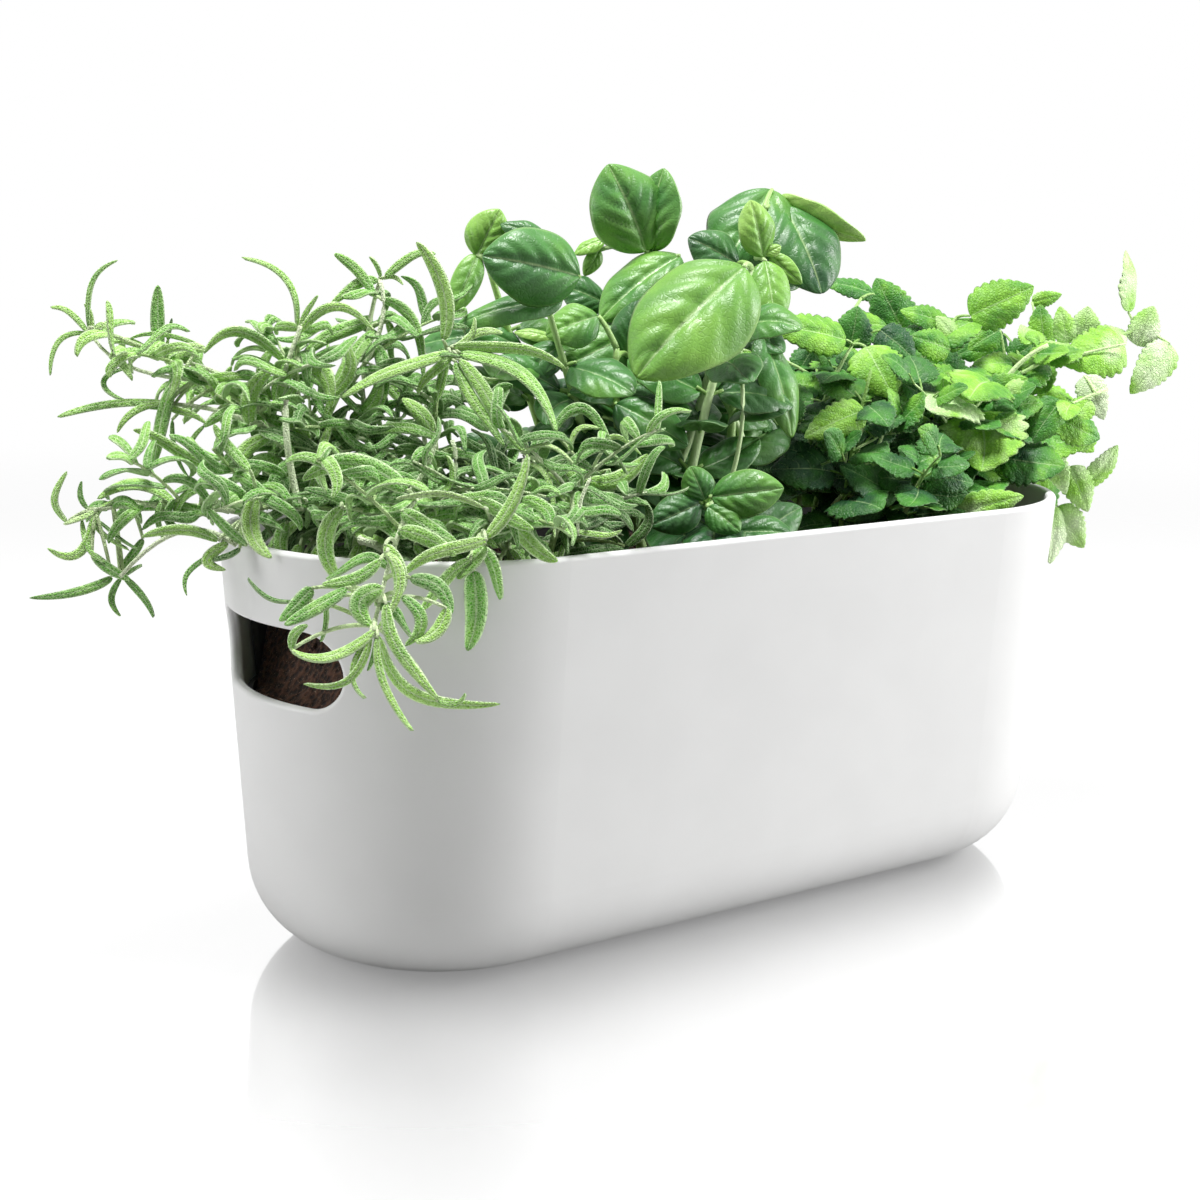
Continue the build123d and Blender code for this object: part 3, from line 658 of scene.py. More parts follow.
# Leaves placed on the photograph, the later rows of each table only to fill its mass: base and tip
# in its pixels, width in pixels, millimetres nearer than the stem, how far the tip comes nearer (in
# shares of the length), turn, tone
# tone: the leaf's colour from dark to bright, with the light and shade that fall on it painted in
basilLeafPixels = (
    (646, 252, 608, 164, 82, 4, 0.25, 8, 0.38), (650, 252, 664, 168, 58, 1, 0.2, -35, 0.3),
    (772, 190, 726, 266, 92, -8, 0.4, 10, 0.22), (784, 206, 822, 294, 84, -4, 0.35, -14, 0.16),
    (778, 198, 866, 241, 40, -8, 0, 66, 0.7), (763, 257, 750, 200, 40, 12, 0.2, 10, 0.64),
    (765, 261, 775, 327, 42, 14, 0.3, -4, 0.58), (771, 255, 802, 284, 22, 8, 0.1, 30, 0.66),
    (766, 254, 781, 246, 14, 12, 0.1, 0, 0.75), (744, 267, 636, 378, 114, 18, 0.3, 6, 0.47),
    (680, 256, 600, 320, 66, 6, 0.2, 16, 0.36), (654, 326, 560, 370, 58, 8, 0.3, 0, 0.3),
    (580, 276, 482, 256, 80, 10, 0.3, -8, 0.24), (562, 300, 456, 326, 40, 4, 0.2, 22, 0.22),
    (476, 256, 500, 209, 44, 0, 0.1, 12, 0.6), (478, 254, 450, 316, 30, 0, 0.2, -20, 0.56),
    (548, 240, 500, 224, 26, -14, 0.1, 10, 0.14), (604, 240, 574, 254, 20, -10, 0.1, 25, 0.66),
    (600, 250, 584, 276, 18, -12, 0.1, -20, 0.62), (598, 316, 546, 336, 50, 2, 0.2, 8, 0.34),
    (616, 404, 688, 446, 54, 6, 0.3, -8, 0.08), (560, 390, 494, 358, 40, 0, 0.2, 10, 0.05),
    (762, 334, 792, 438, 46, 14, 0.15, -28, 0.3), (705, 500, 690, 466, 34, 6, 0.1, 0, 0.26),
    (712, 497, 784, 488, 50, 8, 0.2, 6, 0.34), (700, 503, 650, 526, 42, 6, 0.2, -6, 0.12),
    (708, 507, 740, 532, 34, 10, 0.3, 0, 0.3), (738, 264, 688, 238, 46, -16, 0.1, 0, 0.08),
    (606, 304, 560, 286, 44, -6, 0.2, 10, 0.1), (552, 338, 514, 332, 16, -12, 0, 20, 0.68),
    (522, 348, 468, 326, 30, 2, 0.1, 10, 0.14), (628, 400, 608, 378, 28, 2, 0.2, 0, 0.3),
    (600, 402, 570, 388, 26, 2, 0.2, 0, 0.3), (690, 384, 640, 396, 34, 0, 0.2, 0, 0.06),
    (700, 300, 752, 318, 50, -12, 0.1, 0, 0.08), (640, 300, 600, 346, 52, -8, 0.1, 0, 0.12),
    (560, 345, 520, 380, 38, -8, 0.1, 0, 0.06), (690, 440, 724, 478, 40, -6, 0.2, 0, 0.04),
    (640, 450, 604, 486, 38, -4, 0.2, 0, 0.05), (664, 424, 640, 470, 34, -8, 0.2, 0, 0.06),
    (590, 450, 544, 402, 50, -16, 0.1, 0, 0.1), (530, 404, 488, 374, 40, -16, 0.1, 0, 0.08),
    (745, 456, 788, 408, 50, -22, 0.1, 0, 0.08), (505, 474, 462, 436, 44, -18, 0.1, 0, 0.08),
    (728, 404, 778, 440, 46, -20, 0.1, 0, 0.1), (628, 356, 640, 300, 46, -18, 0.1, 0, 0.1),
    (690, 420, 730, 380, 44, -24, 0.1, 0, 0.06), (590, 500, 560, 450, 44, -20, 0.1, 0, 0.05),
)
lemonBalmLeafPixels = (
    (970, 316, 1034, 286, 48, 2, 0.1, 8, 0.42), (846, 340, 770, 326, 44, 4, 0.25, 6, 0.44),
    (850, 348, 858, 306, 38, -2, 0.1, 0, 0.12), (874, 294, 822, 284, 26, -4, 0.1, 20, 0.28),
    (906, 336, 876, 278, 46, -8, 0.1, -8, 0.34), (866, 347, 894, 398, 56, 8, 0.3, 0, 0.52),
    (950, 350, 910, 336, 34, 4, 0.2, 0, 0.42), (898, 346, 868, 324, 24, 2, 0.1, 0, 0.6),
    (948, 326, 900, 310, 30, 0, 0.1, 10, 0.36), (962, 348, 936, 316, 26, -2, 0.1, 0, 0.6),
    (1004, 334, 956, 356, 42, -8, 0.1, 0, 0.2), (958, 388, 932, 344, 38, -6, 0.1, 0, 0.18),
    (968, 412, 1028, 378, 46, 2, 0.2, 6, 0.36), (1010, 400, 1048, 434, 42, 4, 0.2, 0, 0.4),
    (1040, 390, 1078, 424, 32, 0, 0.1, 8, 0.52), (1048, 430, 980, 482, 58, 6, 0.25, 0, 0.34),
    (1046, 450, 1014, 506, 42, 8, 0.2, 0, 0.4), (950, 515, 1024, 496, 32, 6, 0, 12, 0.62),
    (944, 464, 878, 480, 42, 8, 0.25, 4, 0.58), (934, 424, 898, 444, 30, 6, 0.2, 0, 0.62),
    (864, 410, 804, 438, 38, 6, 0.2, 0, 0.56), (918, 398, 850, 400, 44, 0, 0.1, 0, 0.34),
    (924, 396, 948, 454, 42, 2, 0.1, 0, 0.38), (836, 430, 830, 478, 28, 0, 0.1, 0, 0.38),
    (822, 438, 780, 466, 38, -4, 0.1, 0, 0.04), (800, 448, 810, 484, 32, -4, 0.1, 0, 0.06),
    (874, 454, 888, 512, 40, 2, 0.1, 0, 0.4), (884, 504, 844, 520, 26, 0, 0.1, 0, 0.16),
    (742, 350, 776, 410, 38, -4, 0.1, 0, 0.5), (754, 394, 746, 432, 30, -6, 0.1, 0, 0.44),
    (1124, 344, 1062, 364, 54, 6, 0.2, 6, 0.56), (1128, 312, 1126, 250, 40, 0, 0, 52, 0.85),
    (1138, 346, 1154, 306, 32, 0, 0.1, 0, 0.75), (1170, 344, 1130, 394, 38, 2, 0.1, -16, 0.72),
    (1084, 376, 1104, 420, 30, -4, 0.1, 12, 1.0), (1074, 434, 1094, 452, 24, 0, 0.1, 0, 0.6),
    (1088, 484, 1118, 445, 24, 0, 0, 24, 0.7), (1070, 466, 1088, 512, 34, 2, 0.1, 0, 0.72),
    (1052, 506, 1050, 564, 36, 4, 0.1, -14, 0.82), (1058, 506, 1084, 548, 34, 2, 0.1, 14, 0.74),
    (1032, 302, 1062, 294, 16, -6, 0, 20, 0.62), (1044, 348, 1040, 304, 30, -4, 0.1, 0, 0.56),
    (1068, 344, 1060, 306, 24, -6, 0.1, 0, 0.64), (1082, 344, 1088, 306, 32, -6, 0.1, 0, 0.7),
    (1052, 452, 1066, 494, 24, 0, 0.1, 20, 0.7), (1010, 360, 1046, 336, 30, -6, 0.1, 0, 0.3),
    (780, 372, 812, 398, 34, -8, 0.1, 0, 0.08), (886, 362, 920, 384, 34, -6, 0.1, 0, 0.14),
    (860, 470, 832, 506, 34, -6, 0.1, 0, 0.06), (920, 470, 950, 500, 30, -6, 0.1, 0, 0.14),
    (760, 450, 732, 490, 34, -8, 0.1, 0, 0.04), (1000, 440, 962, 430, 30, -6, 0.1, 0, 0.3),
    (930, 440, 960, 480, 40, 2, 0.1, 0, 0.2), (1016, 440, 988, 486, 44, 4, 0.2, 0, 0.28),
    (1036, 470, 1046, 520, 38, 6, 0.2, 0, 0.42), (1060, 400, 1030, 444, 38, 2, 0.1, 0, 0.3),
    (880, 330, 916, 362, 38, -4, 0.1, 0, 0.1), (830, 360, 872, 380, 34, -4, 0.1, 0, 0.26),
    (900, 440, 868, 470, 40, 0, 0.1, 0, 0.16), (846, 392, 820, 420, 34, 0, 0.1, 0, 0.2),
    (1000, 330, 968, 350, 30, 0, 0.1, 0, 0.4), (940, 370, 902, 398, 38, 2, 0.1, 0, 0.3),
    (780, 420, 752, 456, 36, -2, 0.1, 0, 0.12), (1090, 400, 1066, 430, 26, 0, 0.1, 0, 0.6),
    (1020, 372, 990, 396, 34, 2, 0.1, 0, 0.46), (812, 350, 790, 384, 30, -6, 0.1, 0, 0.16),
)
# Rosemary leaves bend, so each has its base, middle and tip, then width, millimetres nearer, tone, which has
# the light and shade on the leaf painted in
rosemaryLeafPixels = (
    (88, 328, 92, 285, 118, 260, 6, 0, 0.45), (88, 332, 70, 313, 50, 307, 7, 0, 0.6),
    (86, 333, 56, 343, 50, 376, 6, 0, 0.5), (94, 328, 102, 325, 111, 332, 7, 0, 0.85),
    (92, 328, 90, 312, 84, 304, 6, 0, 0.8), (125, 370, 103, 385, 132, 402, 6, 0, 0.35),
    (172, 408, 150, 406, 130, 400, 6, 0, 0.4), (161, 350, 156, 315, 158, 285, 15, 0, 0.35),
    (168, 340, 170, 330, 172, 318, 5, 0, 0.1), (152, 352, 130, 340, 108, 343, 9, 0, 0.6),
    (202, 346, 160, 336, 128, 340, 5, -4, 0.5), (165, 360, 190, 349, 206, 352, 13, 2, 0.85),
    (285, 363, 240, 334, 204, 354, 12, 2, 0.5), (176, 372, 160, 420, 153, 468, 17, 6, 0.35),
    (170, 402, 105, 407, 57, 417, 10, 0, 0.5), (160, 403, 133, 414, 117, 433, 8, 0, 0.6),
    (165, 406, 185, 412, 206, 424, 8, 2, 0.6), (214, 470, 168, 446, 133, 430, 12, 2, 0.5),
    (172, 420, 176, 450, 192, 482, 5, 2, 0.3), (204, 426, 192, 440, 192, 456, 5, 2, 0.5),
    (66, 523, 55, 500, 67, 471, 9, 0, 0.55), (96, 510, 80, 518, 63, 524, 6, 1, 0.85),
    (88, 509, 80, 495, 82, 481, 6, 0, 0.25), (95, 512, 77, 553, 47, 548, 10, 1, 0.6),
    (82, 520, 88, 548, 106, 562, 6, 1, 0.5), (92, 553, 112, 570, 130, 580, 11, 2, 0.5),
    (124, 577, 142, 596, 153, 618, 8, 1, 0.35), (112, 577, 80, 593, 29, 598, 10, 1, 0.5),
    (121, 578, 111, 600, 121, 616, 7, 1, 0.45), (120, 575, 130, 570, 142, 564, 5, 0, 0.45),
    (176, 503, 135, 483, 97, 499, 15, 3, 0.6), (119, 497, 94, 522, 130, 551, 7, 0, 0.6),
    (98, 520, 115, 535, 139, 549, 4, 0, 0.2), (143, 539, 130, 558, 115, 576, 9, 0, 0.4),
    (218, 541, 178, 529, 142, 537, 12, 3, 0.55), (160, 502, 157, 520, 164, 541, 7, 3, 0.4),
    (176, 500, 168, 520, 188, 530, 10, 4, 0.3), (202, 488, 180, 500, 175, 522, 9, 4, 0.4),
    (216, 552, 190, 572, 187, 596, 6, 2, 0.5), (228, 543, 207, 560, 226, 570, 12, 4, 0.7),
    (246, 546, 225, 528, 207, 508, 13, 4, 0.45), (240, 548, 225, 556, 212, 560, 7, 4, 0.2),
    (256, 498, 251, 530, 272, 558, 19, 8, 0.7), (270, 436, 243, 458, 256, 492, 16, 6, 0.65),
    (250, 462, 276, 468, 285, 500, 22, 8, 0.45), (250, 424, 252, 392, 274, 367, 18, 4, 0.6),
    (275, 402, 283, 376, 300, 366, 20, 5, 0.55), (300, 363, 322, 374, 331, 408, 20, 4, 0.6),
    (298, 326, 285, 281, 241, 257, 8, 2, 0.5), (301, 324, 308, 308, 318, 295, 6, 2, 0.6),
    (300, 333, 334, 309, 373, 330, 10, 3, 0.6), (370, 321, 335, 332, 301, 359, 16, 0, 0.45),
    (366, 358, 335, 351, 308, 362, 10, -2, 0.3), (375, 296, 353, 266, 334, 254, 11, 2, 0.4),
    (380, 277, 375, 265, 369, 257, 5, 2, 0.4), (382, 278, 395, 277, 403, 285, 5, 2, 0.8),
    (385, 277, 410, 258, 436, 254, 10, 3, 0.5), (378, 281, 355, 285, 328, 308, 11, 3, 0.45),
    (382, 300, 414, 322, 423, 380, 12, 6, 0.4), (378, 323, 386, 313, 398, 315, 6, 3, 0.4),
    (387, 322, 391, 332, 391, 343, 8, 3, 0.5), (373, 330, 346, 371, 323, 428, 20, 10, 0.5),
    (375, 345, 386, 372, 380, 408, 15, 2, 0.4), (443, 340, 443, 285, 416, 242, 17, 6, 0.6),
    (453, 347, 512, 345, 566, 369, 12, 8, 0.6), (455, 346, 470, 336, 474, 317, 7, 8, 0.8),
    (460, 344, 482, 331, 503, 333, 9, 8, 0.8), (450, 352, 396, 371, 340, 398, 15, 12, 0.65),
    (456, 354, 474, 374, 499, 379, 6, 10, 0.8), (460, 353, 521, 376, 558, 434, 19, 10, 0.5),
    (460, 360, 495, 404, 525, 453, 15, 12, 0.55), (456, 362, 476, 402, 505, 447, 13, 11, 0.5),
    (452, 356, 431, 374, 417, 394, 10, 9, 0.6), (447, 360, 441, 384, 434, 403, 10, 8, 0.5),
    (438, 437, 402, 427, 369, 433, 14, 12, 0.45), (432, 432, 420, 412, 402, 398, 18, 8, 0.6),
    (407, 490, 355, 467, 302, 481, 23, 12, 0.4), (395, 458, 414, 480, 439, 502, 14, 12, 0.45),
    (418, 469, 457, 452, 472, 492, 7, 14, 0.8), (521, 452, 550, 447, 574, 464, 5, 10, 0.85),
    (486, 537, 514, 498, 527, 454, 16, 14, 0.6), (470, 505, 485, 522, 489, 541, 8, 14, 0.5),
    (396, 499, 362, 545, 386, 600, 18, 22, 0.85), (486, 540, 441, 551, 401, 577, 14, 20, 0.65),
    (485, 545, 470, 562, 457, 579, 18, 18, 0.4), (473, 571, 474, 610, 467, 651, 24, 18, 0.45),
    (441, 563, 450, 580, 455, 597, 8, 20, 0.7), (504, 517, 530, 545, 558, 561, 17, 14, 0.55),
    (566, 534, 585, 580, 545, 618, 11, 14, 0.7), (565, 535, 561, 560, 555, 581, 6, 14, 0.6),
    (545, 556, 542, 588, 517, 598, 6, 14, 0.4), (526, 580, 512, 595, 508, 614, 9, 15, 0.2),
    (480, 589, 496, 604, 517, 602, 5, 14, 0.25), (510, 549, 521, 568, 517, 588, 8, 14, 0.7),
    (589, 479, 572, 469, 552, 466, 20, 8, 0.55), (590, 480, 621, 478, 648, 454, 18, 8, 0.6),
    (553, 498, 566, 503, 574, 520, 20, 8, 0.7), (575, 531, 600, 535, 622, 530, 7, 8, 0.7),
    (625, 546, 648, 525, 642, 500, 12, 4, 0.2), (590, 508, 620, 500, 648, 505, 12, 2, 0.15),
    (552, 432, 582, 410, 613, 452, 12, 4, 0.3), (568, 452, 578, 430, 600, 428, 7, 6, 0.7),
    (602, 452, 616, 438, 642, 456, 6, 6, 0.7), (530, 463, 551, 488, 554, 540, 6, 12, 0.8),
    (387, 552, 400, 582, 376, 630, 10, 26, 0.9), (374, 630, 330, 657, 291, 648, 14, 30, 0.8),
    (291, 650, 294, 634, 308, 625, 11, 28, 0.6), (371, 634, 349, 677, 303, 684, 9, 30, 0.75),
    (373, 636, 351, 672, 367, 698, 6, 30, 0.7), (376, 638, 374, 655, 367, 671, 6, 28, 0.4),
    (377, 638, 386, 692, 414, 731, 9, 30, 0.75), (378, 636, 420, 694, 501, 704, 14, 32, 0.75),
    (386, 604, 402, 652, 440, 701, 14, 31, 0.75), (438, 701, 455, 704, 465, 693, 6, 30, 0.6),
    (304, 556, 286, 574, 267, 596, 16, 16, 0.5), (312, 588, 296, 604, 279, 621, 16, 18, 0.45),
    (346, 588, 316, 606, 284, 625, 18, 20, 0.5), (292, 600, 266, 596, 248, 577, 5, 14, 0.25),
    (342, 508, 323, 546, 342, 584, 18, 18, 0.5), (286, 523, 281, 542, 286, 562, 16, 12, 0.45),
    (340, 494, 352, 482, 368, 500, 14, 16, 0.5), (382, 588, 360, 604, 372, 626, 22, 24, 0.6),
    (402, 596, 422, 622, 405, 646, 14, 22, 0.5), (446, 608, 436, 630, 414, 640, 18, 22, 0.8),
    (410, 578, 440, 588, 452, 614, 18, 18, 0.35), (322, 600, 326, 620, 320, 642, 6, 18, 0.5),
    (402, 511, 428, 528, 457, 542, 20, 14, 0.4), (444, 508, 464, 516, 484, 512, 18, 12, 0.3),
    (484, 508, 430, 494, 396, 499, 7, 20, 0.85), (318, 470, 312, 500, 330, 520, 12, 12, 0.5),
    (356, 440, 340, 455, 337, 480, 7, 12, 0.7), (300, 415, 285, 425, 282, 445, 8, 6, 0.3),
    (330, 425, 322, 450, 312, 472, 9, 8, 0.8), (430, 500, 450, 480, 446, 455, 9, 10, 0.55),
    (540, 470, 560, 480, 566, 500, 8, 8, 0.6), (610, 470, 600, 490, 584, 500, 9, 6, 0.3),
    (300, 545, 290, 575, 300, 600, 15, 14, 0.5), (330, 540, 316, 570, 330, 600, 16, 18, 0.6),
    (360, 545, 352, 580, 366, 606, 17, 20, 0.55), (385, 545, 400, 575, 392, 600, 16, 22, 0.6),
    (415, 545, 432, 570, 424, 600, 17, 18, 0.5), (450, 548, 462, 575, 448, 604, 16, 16, 0.6),
    (480, 548, 496, 572, 500, 600, 15, 14, 0.5), (510, 545, 528, 562, 530, 590, 14, 12, 0.45),
    (540, 542, 556, 560, 560, 585, 12, 10, 0.5), (350, 520, 372, 540, 398, 548, 16, 18, 0.6),
    (400, 530, 430, 540, 456, 556, 17, 16, 0.45), (440, 520, 470, 530, 498, 548, 16, 14, 0.4),
    (320, 500, 350, 515, 372, 536, 15, 14, 0.4), (480, 500, 508, 516, 534, 530, 15, 12, 0.45),
    (380, 560, 350, 580, 322, 584, 14, 22, 0.65), (430, 560, 404, 584, 384, 612, 15, 22, 0.65),
    (330, 560, 340, 590, 330, 620, 14, 20, 0.55), (470, 560, 440, 585, 420, 612, 14, 20, 0.6),
    (500, 560, 484, 584, 486, 612, 13, 16, 0.5), (300, 520, 280, 540, 262, 566, 14, 10, 0.5),
    (250, 470, 230, 450, 214, 424, 14, 6, 0.5), (310, 440, 290, 412, 300, 380, 16, 6, 0.55),
    (350, 420, 372, 400, 380, 372, 15, 4, 0.5), (240, 420, 226, 396, 232, 366, 13, 2, 0.6),
    (330, 395, 350, 372, 344, 340, 14, 0, 0.6), (270, 400, 262, 372, 276, 346, 13, 0, 0.55),
    (220, 400, 206, 380, 184, 368, 11, 0, 0.6), (400, 400, 384, 380, 360, 372, 14, 0, 0.5),
)
# Pale stems seen between the leaves: start, middle, end, width, millimetres nearer
stalkPixels = {
    "rosemary": (
        (200, 380, 128, 366, 90, 331, 5, 0), (262, 400, 215, 372, 165, 358, 6, 0),
        (256, 425, 215, 410, 168, 404, 6, 0), (236, 545, 180, 532, 120, 577, 6, 2),
        (180, 520, 130, 500, 92, 512, 4, 2), (280, 385, 292, 350, 301, 326, 6, 4),
        (350, 385, 380, 330, 380, 280, 6, 2), (408, 432, 436, 390, 452, 350, 7, 8),
        (300, 510, 288, 450, 286, 400, 9, 4), (392, 512, 425, 470, 436, 435, 6, 12),
        (360, 540, 404, 575, 376, 636, 9, 24), (466, 572, 470, 556, 487, 540, 7, 16),
        (545, 562, 560, 552, 566, 534, 5, 12), (578, 535, 580, 505, 590, 479, 5, 8),
        (506, 505, 520, 480, 524, 455, 6, 12), (330, 520, 322, 470, 330, 425, 6, 6),
        (440, 505, 455, 470, 452, 440, 6, 10),
    ),
    "basil": (
        (660, 506, 692, 430, 716, 345, 12, 0), (746, 462, 735, 420, 706, 372, 9, 0),
        (676, 500, 668, 430, 672, 385, 8, -4), (714, 548, 712, 525, 704, 503, 7, 2),
        (724, 500, 740, 440, 742, 380, 6, -6),
    ),
    "lemonBalm": (
        (962, 496, 962, 450, 974, 412, 5, 4), (976, 494, 968, 455, 990, 412, 5, 4),
        (996, 396, 1018, 365, 1048, 345, 6, 2), (1004, 404, 1040, 366, 1066, 354, 5, 2),
        (846, 500, 846, 460, 850, 425, 4, -2), (858, 498, 857, 460, 864, 425, 4, -2),
        (832, 506, 868, 462, 884, 430, 5, 0), (952, 500, 956, 455, 946, 420, 4, 0),
        (1060, 360, 1090, 352, 1126, 344, 4, 0),
    ),
}
leafPixels = {
    "rosemary": rosemaryLeafPixels,
    "basil": basilLeafPixels,
    "lemonBalm": lemonBalmLeafPixels,
}


def curvePoint(a, b, c, share):
    return a * (1 - share) ** 2 + b * (2 * share * (1 - share)) + c * share**2


def pixelOf(point):
    rel = point - Vector(view["place"])
    depth = -rel.dot(back)
    middle = view["image"] / 2
    u = middle + view["centre"][0] + view["focal"] * rel.dot(right) / depth
    v = middle + view["centre"][1] - view["focal"] * rel.dot(up) / depth
    return u, v, depth


def pointAt(u, v, depth):
    middle = view["image"] / 2
    x = (u - middle - view["centre"][0]) / view["focal"] * depth
    y = (middle + view["centre"][1] - v) / view["focal"] * depth
    return Vector(view["place"]) + right * x + up * y - back * depth


def stemPoints(herb, row):
    root, bend, tip = row
    halfLength, halfWidth = trough["length"] / 2, trough["width"] / 2
    start = Vector((plot["places"][herb] + root[0] * plot["ball"], root[1] * plot["ball"], plot["seat"]))
    ends = []
    for x, y, z in (bend, tip):
        ends.append(Vector((x * halfLength, y * halfWidth, plot["seat"] + z * plot["foliage"])))
    return start, ends[0], ends[1]


spare = {
    "touch": 0.001,
    "tray": 0.008,
    "beside": 0.008,  # how far out a leaf may not come in front of a hand slot
    "slotHalf": (0.038, 0.026),
    "slotCentre": 0.11,
    "box": 0.01,  # past the box of the CAD
}


def clearOfTrough(point):
    x, y, z = point
    past = max(abs(x) - (trough["length"] - trough["width"]) / 2, 0)
    plan = math.hypot(past, y) - trough["width"] / 2
    if z > trough["height"] + spare["touch"]:
        return True
    if plan > spare["touch"]:
        halfLength, halfHeight = spare["slotHalf"]
        besideSlot = abs(y) < halfLength and abs(z - spare["slotCentre"]) < halfHeight
        return plan > spare["beside"] or not besideSlot
    return plan < -insideTrough(spare["tray"], z) and z > bedHeight(x) + spare["touch"]


def widthAt(shape, share):
    blunt, taper = shape
    peak = blunt / (blunt + taper)
    return (share / peak) ** blunt * ((1 - share) / (1 - peak)) ** taper


# A leaf's midrib, its sideways direction, width, hook, dome and tone, which has its light and shade painted
# in
class Leaf:
    def __init__(self, herb, line, facing, width, hook=0, dome=1, tone=0.5, petiole=None):
        self.herb = herb
        self.line = line
        way = (line[2] - line[0]).normalized()
        self.side = way.cross(facing - way * way.dot(facing)).normalized()
        self.width = width
        self.hook = math.radians(hook)
        self.dome = dome
        self.tone = tone
        self.petiole = petiole

    def reach(self):
        return (self.line[2] - self.line[0]).length


def headed(heading, rise):
    level = math.cos(math.radians(rise))
    x, y = math.cos(math.radians(heading)), math.sin(math.radians(heading))
    return Vector((level * x, level * y, math.sin(math.radians(rise))))


# A leaf that grows straight from its stem
def stemLeaf(herb, stem, spec, tone, hook=0):
    along, heading, rise, length, bow, wide = spec
    kind = herbs[herb]
    base = curvePoint(*stem, along)
    way = headed(heading, rise)
    reach = length * kind["leaf"]
    width = kind["width"] * wide
    if kind["petiole"]:
        width *= length
    line = base, base + way * (reach / 2) + Vector((0, 0, bow * reach)), base + way * reach
    return Leaf(herb, line, plot["light"], width, hook, 1, tone)


placing = {
    "above": 0.6,  # what a stem that is higher than the leaf costs more
    "reach": 0.15,  # how far a bending leaf's tip comes nearer, in shares of its length
    "turn": 30,
    "hangingShade": (545, 0.15),  # from this pixel row down rosemary hangs in the open, and its tone is lowered by this much: painted shade
    "flatDome": 1.4,
    "steps": (0, 1, -1, 2, -2, 3, -3, 4, -4, 5, 6, 7, 8, 9),  # tried nearer and farther for room
    "step": 4,  # millimetres
    "light": 0.5,  # how far leaves turn from the eye to the light
    "bow": (0.05, 0.16),  # of a bending leaf, of another
    "rises": (0.15, 0.4, 0.8, 1.2),  # of a petiole
}


# Where a leaf seen at a pixel leaves its herb: the nearest stem, rather below than above it
def nearestStem(stems, u, v):
    best = None
    for number, stem in enumerate(stems):
        for step in range(6, 21):
            point = curvePoint(*stem, step / 20)
            pu, pv, depth = pixelOf(point)
            cost = math.hypot(u - pu, v - pv) + placing["above"] * max(v - pv, 0)
            if best is None or cost < best[0]:
                best = cost, number, point, depth
    return best[1:]


# A leaf placed on the photograph, joined to the nearest stem by its petiole
def seenLeaf(herb, spec, stems, dice):
    bends = herb == "rosemary"
    if bends:
        u, v, midU, midV, tipU, tipV, wide, nearer, tone = spec
        reachOut, turn, dome = placing["reach"], dice.uniform(-placing["turn"], placing["turn"]), 1
    else:
        u, v, tipU, tipV, wide, nearer, reachOut, turn, tone = spec
        midU, midV, dome = (u + tipU) / 2, (v + tipV) / 2, placing["flatDome"]
    hangFrom, paintedShade = placing["hangingShade"]
    # rosemary hanging low gets painted shade: its tone is lowered
    if bends and v > hangFrom:
        tone -= paintedShade
    bow = placing["bow"][0 if bends else 1]
    number, root, depth = nearestStem(stems, u, v)
    for step in placing["steps"]:
        near = depth - (nearer + placing["step"] * step) / 1000
        base = pointAt(u, v, near)
        length = (pointAt(tipU, tipV, near) - base).length
        tip = pointAt(tipU, tipV, near - reachOut * length)
        middle = pointAt(midU, midV, near - reachOut / 2 * length)
        facing = (back + plot["light"] * placing["light"]).normalized()
        facing = Matrix.Rotation(math.radians(turn), 3, (tip - base).normalized()) @ facing
        control = middle * 2 - (base + tip) / 2 + facing * length * bow
        width = wide / view["focal"] * near
        petiole = bent(root, base)
        leaf = Leaf(herb, (base, control, tip), facing, width, 0, dome, tone, petiole)
        if hasRoom(leaf):
            return number, leaf
    print("no room:", herb, spec[:2])
    return number, None


# A stem seen at a pixel, from the nearest stem of its herb
def seenStalk(spec, stems):
    u, v, midU, midV, endU, endV, wide, nearer = spec
    number, root, depth = nearestStem(stems, u, v)
    near = depth - nearer / 1000
    start, middle, end = (pointAt(x, y, near) for x, y in ((u, v), (midU, midV), (endU, endV)))
    middle = middle * 2 - (start + end) / 2
    line = bent(root, start)[:-1] + [curvePoint(start, middle, end, k / 10) for k in range(11)]
    return number, line, wide / view["focal"] * near / 2


# A petiole that rises over the rim where it has to
def bent(root, base):
    for rise in placing["rises"]:
        halfway = (root + base) / 2 + Vector((0, 0, rise)) * (root - base).length
        line = [curvePoint(root, halfway, base, k / 8) for k in range(9)]
        if all(clearOfTrough(p) for p in line):
            break
    return line


leafForm = {
    "ends": (0.004, 0.992),  # where the blade starts, and its length: its ends don't close to a point
    "crowd": 0.85,  # columns stand closer towards the margins
    "held": 0.25,  # how freely a leaf on a petiole curls and turns
    "hook": 1.4,
    "sway": 0.5,
    "toothEdge": (0.6, 0.4),  # from where the margin is toothed, and the rest of the way out
    "tooth": (1.1, 0.6, 0.62),  # spacing and point, as powers, and the mean that is taken off
    "groove": 0.14,
    "slant": (0.52, 1.25),
    "veinStep": (1.1, 0.15),  # between veins, and how far the two halves are out of step
    "swell": (0.6, 4, 0.07),
    "waves": (1.7, 0.08),  # along the margin: how many, how high
}


